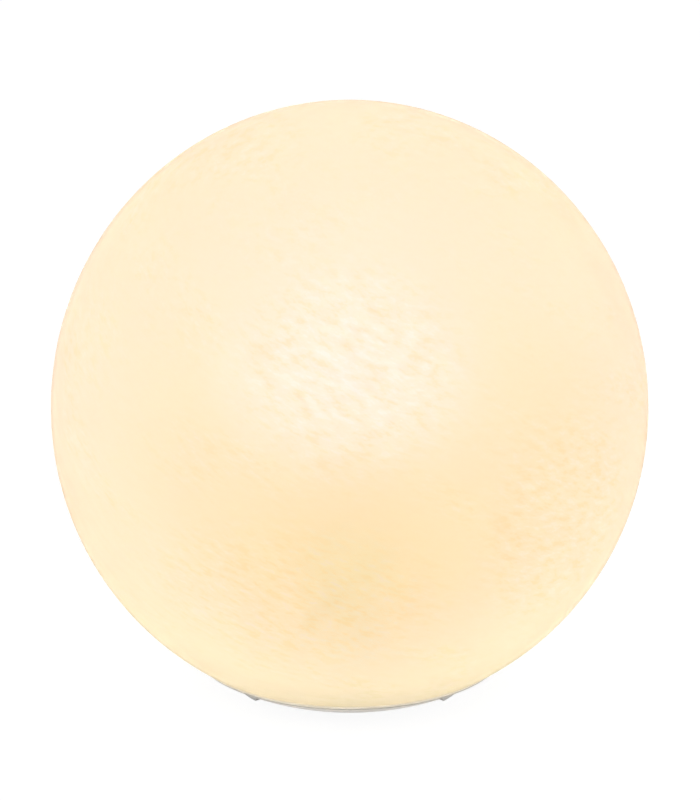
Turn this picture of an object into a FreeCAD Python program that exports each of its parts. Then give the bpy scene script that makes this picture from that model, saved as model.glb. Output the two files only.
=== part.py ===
import FreeCAD
import Part
import os
from math import atan2, cos, pi, radians, sin, sqrt, tan
from FreeCAD import Vector

# Globe table lamp, in millimetres. +Z is up and the origin is on the table, under the globe's axis.
# The front faces -Y. Angles about the axis are counted from the front, anticlockwise seen from above.

# Fits and clearances
seat_clearance = 0.15
loose_gap = 0.3
running_gap = 0.06
overrun = 5.0

# Glass globe
globe_radius = 125.0
globe_rise = 129.0
globe_drop = 127.4
glass_wall = 3.0
mouth_radius = 68.0

# Rim gasket
gasket_thickness = 1.1
gasket_inset = 0.7

# Base dish
dish_bottom_radius = 51.0
foot_height = 3.2
rim_height = 11.8
dish_wall = 2.2
dish_belly = 0.4
lip_wall = 2.0
upstand_height = 4.7
upstand_wall = 1.8
upstand_play = 0.7
hub_slot_gap = 8.0
hub_rise = 6.2
hub_draft = 3.0
foot_count = 3
foot_first_angle = 60.0
foot_half_angle = 9.5
foot_corner_fillet = 1.0
rib_count = 6
rib_first_angle = 30.0
rib_thickness = 1.4
dish_vent_count = 6
dish_vent_first_angle = 30.0
dish_vent_inner_radius = 17.0
dish_vent_outer_radius = 31.0
dish_vent_width = 3.0

# Bottom plate and its screws
plate_thickness = 1.2
plate_screw_count = 3
plate_screw_radius = 1.5
plate_screw_head_radius = 3.0
plate_screw_length = 8.0
plate_screw_inset = 9.0
plate_boss_wall = 1.7
plate_vent_count = 12
plate_vent_inner_radius = 14.0
plate_vent_outer_radius = 26.0
plate_vent_width = 2.4
drive_slot_width = 0.8
drive_slot_depth = 0.6

# Cord inlet at the back foot
gland_bore_radius = 2.6
gland_wall = 0.7
gland_flange_width = 0.8
gland_flange_thickness = 1.5
gland_bend_length = 3.0
inlet_height = 5.6
inlet_angle = 180.0
inlet_block_wall = 2.2
inlet_block_depth = 8.0

# Cord clamp under the hub
clamp_place = 31.0
clamp_spread = 7.0
clamp_boss_radius = 2.8
clamp_cord_space = 4.6
clamp_length = 19.6
clamp_width = 5.6
clamp_thickness = 1.8
clamp_end_fillet = 2.4
clamp_screw_radius = 1.3
clamp_screw_head_radius = 2.4
clamp_screw_head_height = 1.3
clamp_screw_bite = 5.0
clamp_tooth_height = 0.8
clamp_tooth_width = 0.9

# Threaded nipple, its nut and washer, and the stem sleeve
nipple_radius = 5.0
nipple_wall = 1.2
nipple_tail = 1.4
washer_radius = 9.0
washer_thickness = 0.8
locknut_flats = 14.0
locknut_thickness = 3.4
locknut_corner_radius = 7.6
stem_height = 20.0
stem_radius = 8.0
stem_wall = 1.5
stem_foot_radius = 12.0
stem_foot_thickness = 1.6

# Globe clips, leaf springs caught in slots of the dish
clip_count = 3
clip_first_angle = 0.0
clip_thickness = 0.6
clip_width = 10.0
clip_wall_gap = 2.0
clip_slot_play = 0.5
clip_hook_reach = 1.5
clip_hook_height = 0.8
clip_leg_height = 6.5
clip_lead_in = 3.4
clip_lead_height = 6.0
clip_bend_radius = 1.2
clip_window_play = 1.0

# E27 lampholder: cap, skirt, ceramic core and its contacts
holder_radius = 19.5
holder_wall = 1.6
holder_neck_radius = 8.5
holder_neck_height = 5.0
holder_dome_height = 9.0
holder_ledge = 1.6
holder_cap_band = 6.0
holder_skirt_flare = 0.7
holder_edge_fillet = 0.8
holder_thread_length = 8.0
holder_floor_radius_share = 0.33
holder_bowl_radius_share = 0.82
holder_bowl_height_share = 0.36
core_thickness = 7.0
core_fit = 0.2
lock_screw_radius = 1.5
lock_screw_stand = 1.2
screw_shell_wall = 0.4
screw_shell_flange = 4.5
plunger_head_radius = 4.5
plunger_head_height = 0.8
plunger_stem_radius = 1.5
plunger_collar_radius = 2.6
plunger_collar_height = 1.0
plunger_well_depth = 3.5
spring_wire_radius = 0.25
spring_coil_radius = 2.9
spring_turns = 4
strap_thickness = 0.6
strap_width = 5.0
terminal_inner = 7.0
terminal_length = 5.4
terminal_width = 7.0
terminal_height = 4.6
terminal_wire_radius = 1.3
terminal_screw_radius = 1.0
terminal_screw_head_radius = 1.7
terminal_screw_head_height = 1.2
side_contact_thickness = 0.6
side_contact_width = 4.0

# Lamp bulb with an E27 cap
bulb_cap_radius = 13.05
bulb_cap_wall = 0.4
bulb_cap_height = 22.0
bulb_cap_flare = 0.85
bulb_cap_flare_height = 1.2
bulb_thread_gap = 0.3
bulb_tip_radius = 4.8
bulb_tip_height = 1.1
bulb_tip_stem_radius = 2.0
bulb_tip_stem_height = 1.8
insulator_drop = 3.0
insulator_height = 2.0
bulb_length = 108.0
bulb_ball_radius = 30.0
bulb_parting_drop = 15.0
bulb_wall = 1.6
bulb_housing_neck = 0.6
bulb_waist_radius_share = 0.42
bulb_waist_height_share = 0.5
bulb_socket_depth = 5.0
heatsink_wall = 1.0
led_board_thickness = 1.4
led_board_inset = 1.0
led_count = 12
led_length = 3.5
led_width = 2.8
led_height = 0.7
led_circle = 14.0
driver_width = 15.0
driver_height = 22.0
driver_thickness = 1.2
driver_part_radius = 4.0
driver_part_height = 11.0

# Heights and radii that follow from the sizes above
gasket_bottom = rim_height + seat_clearance
gasket_top = gasket_bottom + gasket_thickness
mouth_height = gasket_top + seat_clearance
globe_centre = mouth_height + globe_drop * sqrt(1 - (mouth_radius / globe_radius) ** 2)
inner_drop = globe_drop - glass_wall
inner_radius = globe_radius - glass_wall
mouth_inner_radius = inner_radius * sqrt(1 - ((globe_centre - mouth_height) / inner_drop) ** 2)
gasket_outer_radius = mouth_radius - gasket_inset
gasket_inner_radius = mouth_inner_radius + seat_clearance

lip_radius = dish_bottom_radius - lip_wall
inlet_outer_face = lip_radius + inlet_block_depth
shoulder_underside = rim_height - dish_wall
dish_across = gasket_outer_radius - dish_bottom_radius
dish_up = rim_height - foot_height
dish_slope = sqrt(dish_across**2 + dish_up**2)
dish_wall_across = dish_wall * dish_slope / dish_up
clip_tail_bottom = shoulder_underside - loose_gap - clip_hook_height
dish_wall_at_tail = (
    dish_bottom_radius + dish_across * (clip_tail_bottom - foot_height) / dish_up - dish_wall_across
)
clip_slot_radius = dish_wall_at_tail - clip_wall_gap - clip_thickness / 2
hub_radius = clip_slot_radius - hub_slot_gap
plate_screw_circle = hub_radius - plate_screw_inset
upstand_radius = mouth_inner_radius - upstand_play
upstand_inner_radius = upstand_radius - upstand_wall
hub_top = rim_height + hub_rise
hub_underside = hub_top - dish_wall
hub_top_radius = hub_radius - hub_draft
plate_top = foot_height + plate_thickness

washer_bottom = hub_underside - washer_thickness
locknut_bottom = washer_bottom - locknut_thickness
nipple_bottom = locknut_bottom - nipple_tail
holder_bottom = hub_top + stem_height
holder_neck_top = holder_bottom + holder_neck_height
holder_ledge_height = holder_neck_top + holder_dome_height
holder_cap_top = holder_ledge_height + holder_cap_band
nipple_top = holder_bottom + holder_thread_length
core_bottom = holder_ledge_height
core_top = core_bottom + core_thickness
core_radius = holder_radius - holder_wall - core_fit
skirt_mouth_radius = bulb_cap_radius + bulb_cap_flare + 2 * loose_gap

plunger_top = core_top + screw_shell_wall + loose_gap
plunger_head_bottom = plunger_top - plunger_head_height
well_floor = core_top - plunger_well_depth
well_radius = plunger_head_radius + loose_gap
strap_bottom = core_bottom - strap_thickness
collar_top = strap_bottom - loose_gap
collar_bottom = collar_top - plunger_collar_height

bulb_bottom = plunger_top + loose_gap
insulator_bottom = bulb_bottom + bulb_tip_height + running_gap
cap_bottom = insulator_bottom + insulator_drop
cap_top = cap_bottom + bulb_cap_height
screw_shell_radius = bulb_cap_radius + bulb_thread_gap
skirt_top = cap_top - 2 * loose_gap
screw_shell_top = cap_top - bulb_cap_flare_height - 2 * loose_gap
bulb_top = bulb_bottom + bulb_length
ball_centre = bulb_top - bulb_ball_radius
parting_height = ball_centre - bulb_parting_drop
parting_radius = sqrt(bulb_ball_radius**2 - bulb_parting_drop**2)

quarter_turn = 90.0
half_quarter = pi / 4
small_angle_share = 1 - cos(half_quarter)
flat_tolerance = 1e-4
full_turn = 360.0


def steps(count, first_angle=0.0):
    """Angles of evenly spaced copies about the axis."""
    return [first_angle + full_turn / count * i for i in range(count)]


def at_angle(shape, angle):
    """A copy of a shape made along +X, turned to its angle from the front."""
    copy = shape.copy()
    copy.rotate(Vector(), Vector(0, 0, 1), angle - quarter_turn)
    return copy


def outline(*path):
    """Closed wire in the XZ plane: each step is an end point, or a middle and an end point of an arc."""
    edges = []
    here = path[0]
    for step in path[1:] + path[:1]:
        is_arc = isinstance(step[0], tuple)
        end = step[1] if is_arc else step
        start_point = Vector(here[0], 0, here[1])
        end_point = Vector(end[0], 0, end[1])
        if is_arc:
            middle_point = Vector(step[0][0], 0, step[0][1])
            edges.append(Part.Arc(start_point, middle_point, end_point).toShape())
        elif start_point.distanceToPoint(end_point) > 0:
            edges.append(Part.LineSegment(start_point, end_point).toShape())
        here = end
    return Part.Wire(edges)


def turned(*path):
    """Solid of revolution about the lamp's axis from an outline of radii and heights."""
    return Part.Face(outline(*path)).revolve(Vector(), Vector(0, 0, 1), full_turn)


def cylinder(radius, bottom, top, x=0.0, y=0.0):
    """Upright cylinder between two heights."""
    return Part.makeCylinder(radius, top - bottom, Vector(x, y, bottom))


def tube(outer, inner, bottom, top):
    """Upright tube about the axis."""
    return cylinder(outer, bottom, top).cut(cylinder(inner, bottom - overrun, top + overrun))


def block(low, high):
    """Box between two corners."""
    return Part.makeBox(high[0] - low[0], high[1] - low[1], high[2] - low[2], Vector(*low))


def radial_slot(inner, outer, width, bottom, top):
    """Round-ended slot along +X, cut through between two heights."""
    half = width / 2
    bar = block((inner, -half, bottom), (outer, half, top))
    ends = [cylinder(half, bottom, top, place) for place in (inner, outer)]
    return bar.fuse(ends).removeSplitter()


def bent_strip(points, thickness, width, bend_radius):
    """Strip of sheet along +X that follows centre-line points of radius and height, with round bends."""
    sides = {1: [], -1: []}
    start = Vector(points[0][0], 0, points[0][1])
    for before, corner, after in zip(points, points[1:], points[2:]):
        here = Vector(corner[0], 0, corner[1])
        arriving = (here - Vector(before[0], 0, before[1])).normalize()
        leaving = (Vector(after[0], 0, after[1]) - here).normalize()
        turn = atan2(arriving.z * leaving.x - arriving.x * leaving.z, arriving.dot(leaving))
        side = 1 if turn > 0 else -1
        reach = bend_radius * tan(abs(turn) / 2)
        inward = Vector(arriving.z, 0, -arriving.x) * side
        centre = here - arriving * reach + inward * bend_radius
        towards = (here - centre).normalize()
        for edge in sides:
            radius = bend_radius - side * edge * thickness / 2
            first = centre - inward * radius
            middle = centre + towards * radius
            last = centre - Vector(leaving.z, 0, -leaving.x) * side * radius
            sides[edge].append((first, middle, last))
    finish = Vector(points[-1][0], 0, points[-1][1])
    first_way = (Vector(points[1][0], 0, points[1][1]) - start).normalize()
    last_way = (finish - Vector(points[-2][0], 0, points[-2][1])).normalize()
    edges = []
    ends = []
    for edge in sides:
        here = start + Vector(first_way.z, 0, -first_way.x) * (edge * thickness / 2)
        opening = here
        for first, middle, last in sides[edge]:
            edges.append(Part.LineSegment(here, first).toShape())
            edges.append(Part.Arc(first, middle, last).toShape())
            here = last
        closing = finish + Vector(last_way.z, 0, -last_way.x) * (edge * thickness / 2)
        edges.append(Part.LineSegment(here, closing).toShape())
        ends.append((opening, closing))
    edges.append(Part.LineSegment(ends[0][0], ends[1][0]).toShape())
    edges.append(Part.LineSegment(ends[0][1], ends[1][1]).toShape())
    face = Part.Face(Part.Wire(Part.__sortEdges__(edges)))
    face.translate(Vector(0, -width / 2, 0))
    return face.extrude(Vector(0, width, 0))


def globe_arc(radius, reach, cut_radius=0.0):
    """Quarter of the globe's section, from its pole or a smaller circle out to its widest line."""
    pole = Vector(0, 0, globe_centre + reach)
    corner = Vector(radius, 0, globe_centre + reach)
    widest = Vector(radius, 0, globe_centre)
    quarter = Part.BezierCurve()
    quarter.setPoles([pole, corner, widest])
    quarter.setWeight(2, cos(half_quarter))
    cut_height = globe_centre + reach * sqrt(1 - (cut_radius / radius) ** 2)
    first = quarter.parameter(Vector(cut_radius, 0, cut_height))
    return quarter.toShape(first, quarter.LastParameter)


def glass_globe():
    """Blown globe, a little taller above its widest line, with a ground open mouth at the bottom."""
    inner_rise = globe_rise - glass_wall
    edges = [
        globe_arc(globe_radius, -globe_drop, mouth_radius),
        globe_arc(globe_radius, globe_rise),
        globe_arc(inner_radius, inner_rise),
        globe_arc(inner_radius, -inner_drop, mouth_inner_radius),
        Part.LineSegment(
            Vector(0, 0, globe_centre + globe_rise), Vector(0, 0, globe_centre + inner_rise)
        ).toShape(),
        Part.LineSegment(
            Vector(mouth_radius, 0, mouth_height), Vector(mouth_inner_radius, 0, mouth_height)
        ).toShape(),
    ]
    section = Part.Face(Part.Wire(Part.__sortEdges__(edges)))
    return section.revolve(Vector(), Vector(0, 0, 1), full_turn)


def rim_gasket():
    """Flat soft ring that the globe's ground edge stands on."""
    return tube(gasket_outer_radius, gasket_inner_radius, gasket_bottom, gasket_top)


def dish_shell():
    """Turned form of the dish: lip, curved outer wall, shoulder, locating upstand and raised hub."""
    middle = (
        dish_bottom_radius + dish_across / 2 + dish_belly * dish_up / dish_slope,
        foot_height + dish_up / 2 - dish_belly * dish_across / dish_slope,
    )
    inner_lip_height = foot_height + (dish_wall_across - lip_wall) * dish_up / dish_across
    inner_corner = lip_radius + (shoulder_underside - inner_lip_height) * dish_across / dish_up
    hub_inner_top = hub_top_radius - dish_wall
    hub_inner_foot = hub_radius - dish_wall
    return turned(
        (dish_bottom_radius, foot_height),
        (middle, (gasket_outer_radius, rim_height)),
        (upstand_radius, rim_height),
        (upstand_radius, rim_height + upstand_height),
        (upstand_inner_radius, rim_height + upstand_height),
        (upstand_inner_radius, rim_height),
        (hub_radius, rim_height),
        (hub_top_radius, hub_top),
        (nipple_radius, hub_top),
        (nipple_radius, hub_underside),
        (hub_inner_top, hub_underside),
        (hub_inner_foot, shoulder_underside),
        (inner_corner, shoulder_underside),
        (lip_radius, inner_lip_height),
        (lip_radius, foot_height),
    )


def foot():
    """Curved foot that stands under the dish's lip, with its lower corners rounded."""
    span = 2 * foot_half_angle
    wall_edges = [
        Part.LineSegment(Vector(lip_radius, 0, 0), Vector(dish_bottom_radius, 0, 0)).toShape(),
        Part.LineSegment(
            Vector(dish_bottom_radius, 0, 0), Vector(dish_bottom_radius, 0, foot_height)
        ).toShape(),
        Part.LineSegment(
            Vector(dish_bottom_radius, 0, foot_height), Vector(lip_radius, 0, foot_height)
        ).toShape(),
        Part.LineSegment(Vector(lip_radius, 0, foot_height), Vector(lip_radius, 0, 0)).toShape(),
    ]
    face = Part.Face(Part.Wire(wall_edges))
    solid = face.revolve(Vector(), Vector(0, 0, 1), span)
    solid.rotate(Vector(), Vector(0, 0, 1), -foot_half_angle)
    corners = []
    for edge in solid.Edges:
        ends = [vertex.Point for vertex in edge.Vertexes]
        if len(ends) == 2 and all(abs(end.z) < flat_tolerance for end in ends):
            if abs(ends[0].Length - ends[1].Length) > lip_wall / 2:
                corners.append(edge)
    return solid.makeFillet(min(foot_corner_fillet, foot_height / 2), corners)


def dish_rib():
    """Web between the hub wall and the outer wall, under the shoulder."""
    half = rib_thickness / 2
    inner = hub_radius - dish_wall / 2
    top = shoulder_underside + dish_wall / 2
    return block((inner, -half, plate_top), (gasket_outer_radius, half, top))


def inlet_block():
    """Moulded block of the back foot that the cord gland passes through."""
    half = gland_bore_radius + gland_wall + inlet_block_wall
    return block(
        (lip_radius - inlet_block_wall, -half, 0),
        (lip_radius + inlet_block_depth, half, shoulder_underside + dish_wall / 2),
    )


def along_radius(radius, start, stop, height):
    """Cylinder that lies along +X."""
    return Part.makeCylinder(radius, stop - start, Vector(start, 0, height), Vector(1, 0, 0))


def base_dish():
    """White moulded dish with three feet, screw bosses, ribs, clip slots and the cord inlet."""
    dish = dish_shell()
    outer_cone = dish_outer_envelope()
    added = [at_angle(foot(), angle) for angle in steps(foot_count, foot_first_angle)]
    added += [
        at_angle(dish_rib().common(outer_cone), angle)
        for angle in steps(rib_count, rib_first_angle)
    ]
    added += [
        at_angle(
            cylinder(plate_screw_radius + plate_boss_wall, plate_top, hub_underside, plate_screw_circle),
            angle,
        )
        for angle in steps(plate_screw_count)
    ]
    added += [
        cylinder(clamp_boss_radius, clamp_top(), hub_underside, side * clamp_spread, clamp_place)
        for side in (-1, 1)
    ]
    saddle_bottom = clamp_top() + clamp_cord_space
    added.append(
        block(
            (-clamp_spread, clamp_place - clamp_boss_radius / 2, saddle_bottom),
            (clamp_spread, clamp_place + clamp_boss_radius / 2, hub_underside),
        )
    )
    added.append(at_angle(inlet_block(), inlet_angle))
    dish = dish.fuse(added).removeSplitter()
    cuts = [
        at_angle(
            cylinder(
                plate_screw_radius,
                plate_top - overrun,
                plate_top + plate_screw_length,
                plate_screw_circle,
            ),
            angle,
        )
        for angle in steps(plate_screw_count)
    ]
    cuts += [
        cylinder(
            clamp_screw_radius,
            clamp_top() - overrun,
            clamp_top() + clamp_screw_bite,
            side * clamp_spread,
            clamp_place,
        )
        for side in (-1, 1)
    ]
    cuts += [
        at_angle(
            radial_slot(
                dish_vent_inner_radius,
                dish_vent_outer_radius,
                dish_vent_width,
                hub_underside - overrun,
                hub_top + overrun,
            ),
            angle,
        )
        for angle in steps(dish_vent_count, dish_vent_first_angle)
    ]
    cuts += [at_angle(clip_cut(), angle) for angle in steps(clip_count, clip_first_angle)]
    cuts.append(at_angle(inlet_cut(), inlet_angle))
    return dish.cut(cuts)


def dish_outer_envelope():
    """Everything inside the dish's outer wall, which trims the ribs."""
    inset = dish_wall_across / 2
    return turned(
        (0, foot_height),
        (dish_bottom_radius - inset, foot_height),
        (gasket_outer_radius - inset, rim_height),
        (0, rim_height),
    )


def inlet_cut():
    """Hole for the gland's body and the round scallop that clears its flange."""
    body = along_radius(
        gland_bore_radius + gland_wall,
        lip_radius - inlet_block_wall - overrun,
        inlet_outer_face + overrun,
        inlet_height,
    )
    scallop = along_radius(
        gland_bore_radius + gland_wall + gland_flange_width + loose_gap,
        inlet_outer_face,
        gasket_outer_radius + overrun,
        inlet_height,
    )
    return body.fuse(scallop)


def clip_cut():
    """Slot in the shoulder for a clip's tail, and the window in the upstand for its leg."""
    half = clip_width / 2 + clip_window_play
    slot_half = clip_thickness / 2 + clip_slot_play
    slot = block(
        (clip_slot_radius - slot_half, -half, shoulder_underside - loose_gap),
        (clip_slot_radius + slot_half, half, rim_height + overrun),
    )
    window = block(
        (upstand_inner_radius - upstand_wall, -half, rim_height),
        (upstand_radius + upstand_wall, half, rim_height + upstand_height + overrun),
    )
    return slot.fuse(window)


def clamp_top():
    """Height of the clamp strap's upper face, which bears on the two clamp bosses."""
    return plate_top + clamp_screw_head_height + clamp_thickness + 2 * loose_gap


def cord_gland():
    """Bush through the back foot: body, outer flange and a rounded inner mouth."""
    body_radius = gland_bore_radius + gland_wall
    body = along_radius(
        body_radius, lip_radius - inlet_block_wall - gland_bend_length, inlet_outer_face, inlet_height
    )
    flange = along_radius(
        body_radius + gland_flange_width,
        inlet_outer_face,
        inlet_outer_face + gland_flange_thickness,
        inlet_height,
    )
    bore = along_radius(
        gland_bore_radius,
        lip_radius - inlet_block_wall - gland_bend_length - overrun,
        inlet_outer_face + gland_flange_thickness + overrun,
        inlet_height,
    )
    return at_angle(body.fuse(flange).removeSplitter().cut(bore), inlet_angle)


def bottom_plate():
    """Round plate inside the lip that closes the wiring chamber, countersunk and vented."""
    plate = cylinder(lip_radius - loose_gap, foot_height, plate_top)
    inlet_half = gland_bore_radius + gland_wall + inlet_block_wall + loose_gap
    cuts = [
        at_angle(
            Part.makeCone(
                plate_screw_head_radius,
                plate_screw_radius,
                plate_thickness,
                Vector(plate_screw_circle, 0, foot_height),
            ),
            angle,
        )
        for angle in steps(plate_screw_count)
    ]
    cuts += [
        at_angle(
            radial_slot(
                plate_vent_inner_radius,
                plate_vent_outer_radius,
                plate_vent_width,
                foot_height - overrun,
                plate_top + overrun,
            ),
            angle,
        )
        for angle in steps(plate_vent_count)
    ]
    notch = block(
        (lip_radius - inlet_block_wall - gland_bend_length - loose_gap, -inlet_half, 0),
        (lip_radius + overrun, inlet_half, plate_top + overrun),
    )
    cuts.append(at_angle(notch, inlet_angle))
    return plate.cut(cuts)


def drive_slot(radius, bottom):
    """Screwdriver slot in the underside of a head."""
    half = drive_slot_width / 2
    reach = radius + overrun
    return block((-reach, -half, bottom - overrun), (reach, half, bottom + drive_slot_depth))


def bottom_plate_screws():
    """Three countersunk screws that hold the bottom plate."""
    head = Part.makeCone(
        plate_screw_head_radius, plate_screw_radius, plate_thickness, Vector(0, 0, foot_height)
    )
    shank = cylinder(plate_screw_radius, plate_top, plate_top + plate_screw_length)
    screw = head.fuse(shank).removeSplitter().cut(drive_slot(plate_screw_head_radius, foot_height))
    screw.translate(Vector(plate_screw_circle, 0, 0))
    return Part.makeCompound([at_angle(screw, angle) for angle in steps(plate_screw_count)])


def cord_clamp():
    """Strap with a gripping tooth that holds the mains lead against the saddle."""
    top = clamp_top()
    half_length = clamp_length / 2
    half_width = clamp_width / 2
    strap = block(
        (-half_length, clamp_place - half_width, top - clamp_thickness),
        (half_length, clamp_place + half_width, top),
    )
    corners = [edge for edge in strap.Edges if abs(edge.Vertexes[0].Z - edge.Vertexes[-1].Z) > 0]
    strap = strap.makeFillet(clamp_end_fillet, corners)
    tooth_half = clamp_spread - clamp_boss_radius - loose_gap
    tooth = block(
        (-tooth_half, clamp_place - clamp_tooth_width / 2, top),
        (tooth_half, clamp_place + clamp_tooth_width / 2, top + clamp_tooth_height),
    )
    strap = strap.fuse(tooth).removeSplitter()
    under = top - clamp_thickness - overrun
    holes = [
        cylinder(clamp_screw_radius, under, top + overrun, side * clamp_spread, clamp_place)
        for side in (-1, 1)
    ]
    return strap.cut(holes)


def cord_clamp_screws():
    """Two screws that pull the strap up to its bosses."""
    top = clamp_top()
    seat = top - clamp_thickness
    screws = []
    for side in (-1, 1):
        head = cylinder(clamp_screw_head_radius, seat - clamp_screw_head_height, seat)
        screw = head.fuse(cylinder(clamp_screw_radius, seat, top + clamp_screw_bite)).removeSplitter()
        screw = screw.cut(drive_slot(clamp_screw_head_radius, seat - clamp_screw_head_height))
        screw.translate(Vector(side * clamp_spread, clamp_place, 0))
        screws.append(screw)
    return Part.makeCompound(screws)


def nipple_tube():
    """Threaded tube that ties the lampholder, the stem sleeve and the dish together."""
    return tube(nipple_radius, nipple_radius - nipple_wall, nipple_bottom, nipple_top)


def nipple_locknut():
    """Hexagon nut under the hub, its corners turned to a circle."""
    reach = locknut_flats / 2 / cos(radians(full_turn / 12))
    corners = [
        Vector(reach * cos(radians(angle)), reach * sin(radians(angle)), locknut_bottom)
        for angle in steps(6)
    ]
    hexagon = Part.Face(Part.makePolygon(corners + corners[:1])).extrude(Vector(0, 0, locknut_thickness))
    rounding = cylinder(locknut_corner_radius, locknut_bottom, washer_bottom)
    return hexagon.common(rounding).cut(
        cylinder(nipple_radius, locknut_bottom - overrun, washer_bottom + overrun)
    )


def nipple_washer():
    """Washer between the locknut and the underside of the hub."""
    return tube(washer_radius, nipple_radius, washer_bottom, hub_underside)


def stem_sleeve():
    """Sleeve over the nipple, flared at its foot, that sets the lampholder's height."""
    bore = nipple_radius + loose_gap
    rise = holder_bottom - hub_top
    return turned(
        (bore, hub_top),
        (stem_foot_radius, hub_top),
        (stem_foot_radius, hub_top + stem_foot_thickness),
        (
            (
                stem_radius + (stem_foot_radius - stem_radius) * small_angle_share,
                hub_top + stem_foot_thickness + (stem_foot_radius - stem_radius) * small_angle_share,
            ),
            (stem_radius, hub_top + stem_foot_thickness + stem_foot_radius - stem_radius),
        ),
        (stem_radius, hub_top + rise),
        (stem_radius - stem_wall, hub_top + rise),
        (bore, hub_top + rise),
    )


def globe_clip():
    """Spring steel leaf: tail with a wide hook under the shoulder, foot, leg and inward lead-in."""
    leg_radius = mouth_inner_radius - loose_gap - clip_thickness / 2
    foot_level = rim_height + loose_gap + clip_thickness / 2
    leg_top = foot_level + clip_leg_height
    leaf = bent_strip(
        (
            (clip_slot_radius, clip_tail_bottom),
            (clip_slot_radius, foot_level),
            (leg_radius, foot_level),
            (leg_radius, leg_top),
            (leg_radius - clip_lead_in, leg_top + clip_lead_height),
        ),
        clip_thickness,
        clip_width,
        clip_bend_radius,
    )
    hook_half = clip_width / 2 + clip_window_play + clip_hook_reach
    hook = block(
        (clip_slot_radius - clip_thickness / 2, -hook_half, clip_tail_bottom),
        (clip_slot_radius + clip_thickness / 2, hook_half, shoulder_underside - loose_gap),
    )
    return leaf.fuse(hook).removeSplitter()


def dome_points(neck, rim, bottom, top):
    """Middle and end of the quarter curve from a neck to a rim."""
    middle = (neck + (rim - neck) * sin(half_quarter), top - (top - bottom) * cos(half_quarter))
    return (middle, (rim, top))


def holder_cap():
    """Lower shell of the lampholder, screwed on the nipple, with a ledge for the core."""
    inner = holder_radius - holder_wall
    ledge = inner - holder_ledge
    floor = holder_neck_top + holder_wall
    shell = turned(
        (nipple_radius, holder_bottom),
        (holder_neck_radius, holder_bottom),
        (holder_neck_radius, holder_neck_top),
        dome_points(holder_neck_radius, holder_radius, holder_neck_top, holder_ledge_height),
        (holder_radius, holder_cap_top),
        (inner, holder_cap_top),
        (inner, holder_ledge_height),
        (ledge, holder_ledge_height),
        (
            (
                nipple_radius + (ledge - nipple_radius) * holder_bowl_radius_share,
                floor + (holder_ledge_height - floor) * holder_bowl_height_share,
            ),
            (nipple_radius + (ledge - nipple_radius) * holder_floor_radius_share, floor),
        ),
        (nipple_radius, floor),
    )
    hole = along_radius(
        lock_screw_radius, 0, holder_neck_radius + overrun, holder_bottom + holder_neck_height / 2
    )
    return shell.cut(hole)


def holder_locking_screw():
    """Grub screw in the cap's neck that bears on the nipple."""
    height = holder_bottom + holder_neck_height / 2
    screw = along_radius(
        lock_screw_radius, nipple_radius, holder_neck_radius + lock_screw_stand, height
    )
    return screw.cut(cylinder(nipple_radius, height - overrun, height + overrun))


def holder_skirt():
    """Upper shell of the lampholder, flared a little, with a turned-in top."""
    inner = holder_radius - holder_wall
    top_radius = holder_radius + holder_skirt_flare
    return turned(
        (holder_radius, holder_cap_top),
        (top_radius, skirt_top - holder_edge_fillet),
        (
            (
                top_radius - holder_edge_fillet * (1 - cos(half_quarter)),
                skirt_top - holder_edge_fillet * (1 - sin(half_quarter)),
            ),
            (top_radius - holder_edge_fillet, skirt_top),
        ),
        (skirt_mouth_radius, skirt_top),
        (skirt_mouth_radius, skirt_top - holder_wall),
        (top_radius - holder_wall, skirt_top - holder_wall),
        (inner, holder_cap_top),
    )


def holder_core():
    """Ceramic core: well for the sprung contact, a hole for its stem and a slot for the side contact."""
    core = cylinder(core_radius, core_bottom, core_top)
    half = side_contact_thickness / 2 + loose_gap
    slot_place = terminal_inner + terminal_length / 2
    cuts = [
        cylinder(well_radius, well_floor, core_top + overrun),
        cylinder(plunger_stem_radius + running_gap, core_bottom - overrun, core_top),
        block(
            (-slot_place - half, -side_contact_width / 2 - loose_gap, core_bottom - overrun),
            (-slot_place + half, side_contact_width / 2 + loose_gap, core_top + overrun),
        ),
    ]
    return core.cut(cuts)


def screw_shell():
    """Metal sleeve that takes the bulb's cap, with a flange that sits on the core."""
    outer = screw_shell_radius + screw_shell_wall
    hole = outer - screw_shell_flange
    return turned(
        (hole, core_top),
        (outer, core_top),
        (outer, screw_shell_top),
        (screw_shell_radius, screw_shell_top),
        (screw_shell_radius, core_top + screw_shell_wall),
        (hole, core_top + screw_shell_wall),
    )


def side_contact():
    """Upright leaf through the core that joins the neutral terminal and the screw shell."""
    place = terminal_inner + terminal_length / 2
    return block(
        (-place - side_contact_thickness / 2, -side_contact_width / 2, core_bottom),
        (-place + side_contact_thickness / 2, side_contact_width / 2, core_top),
    )


def live_strap():
    """Flat strap under the core between the live terminal and the sprung contact's stem."""
    strap = block(
        (-plunger_collar_radius, -strap_width / 2, strap_bottom),
        (terminal_inner + terminal_length, strap_width / 2, core_bottom),
    )
    return strap.cut(cylinder(plunger_stem_radius + running_gap, strap_bottom - overrun, core_top))


def terminal(side, top):
    """Brass terminal block with a wire hole and a clamping screw hole."""
    inner = terminal_inner
    outer = terminal_inner + terminal_length
    middle = inner + terminal_length / 2
    body = block(
        (min(side * inner, side * outer), -terminal_width / 2, top - terminal_height),
        (max(side * inner, side * outer), terminal_width / 2, top),
    )
    wire_height = top - terminal_height / 2
    wire_hole = Part.makeCylinder(
        terminal_wire_radius,
        terminal_length + 2 * overrun,
        Vector(side * middle - terminal_length / 2 - overrun, 0, wire_height),
        Vector(1, 0, 0),
    )
    screw_hole = Part.makeCylinder(
        terminal_screw_radius,
        terminal_width / 2 + overrun,
        Vector(side * middle, 0, wire_height),
        Vector(0, 1, 0),
    )
    return body.cut([wire_hole, screw_hole])


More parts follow.
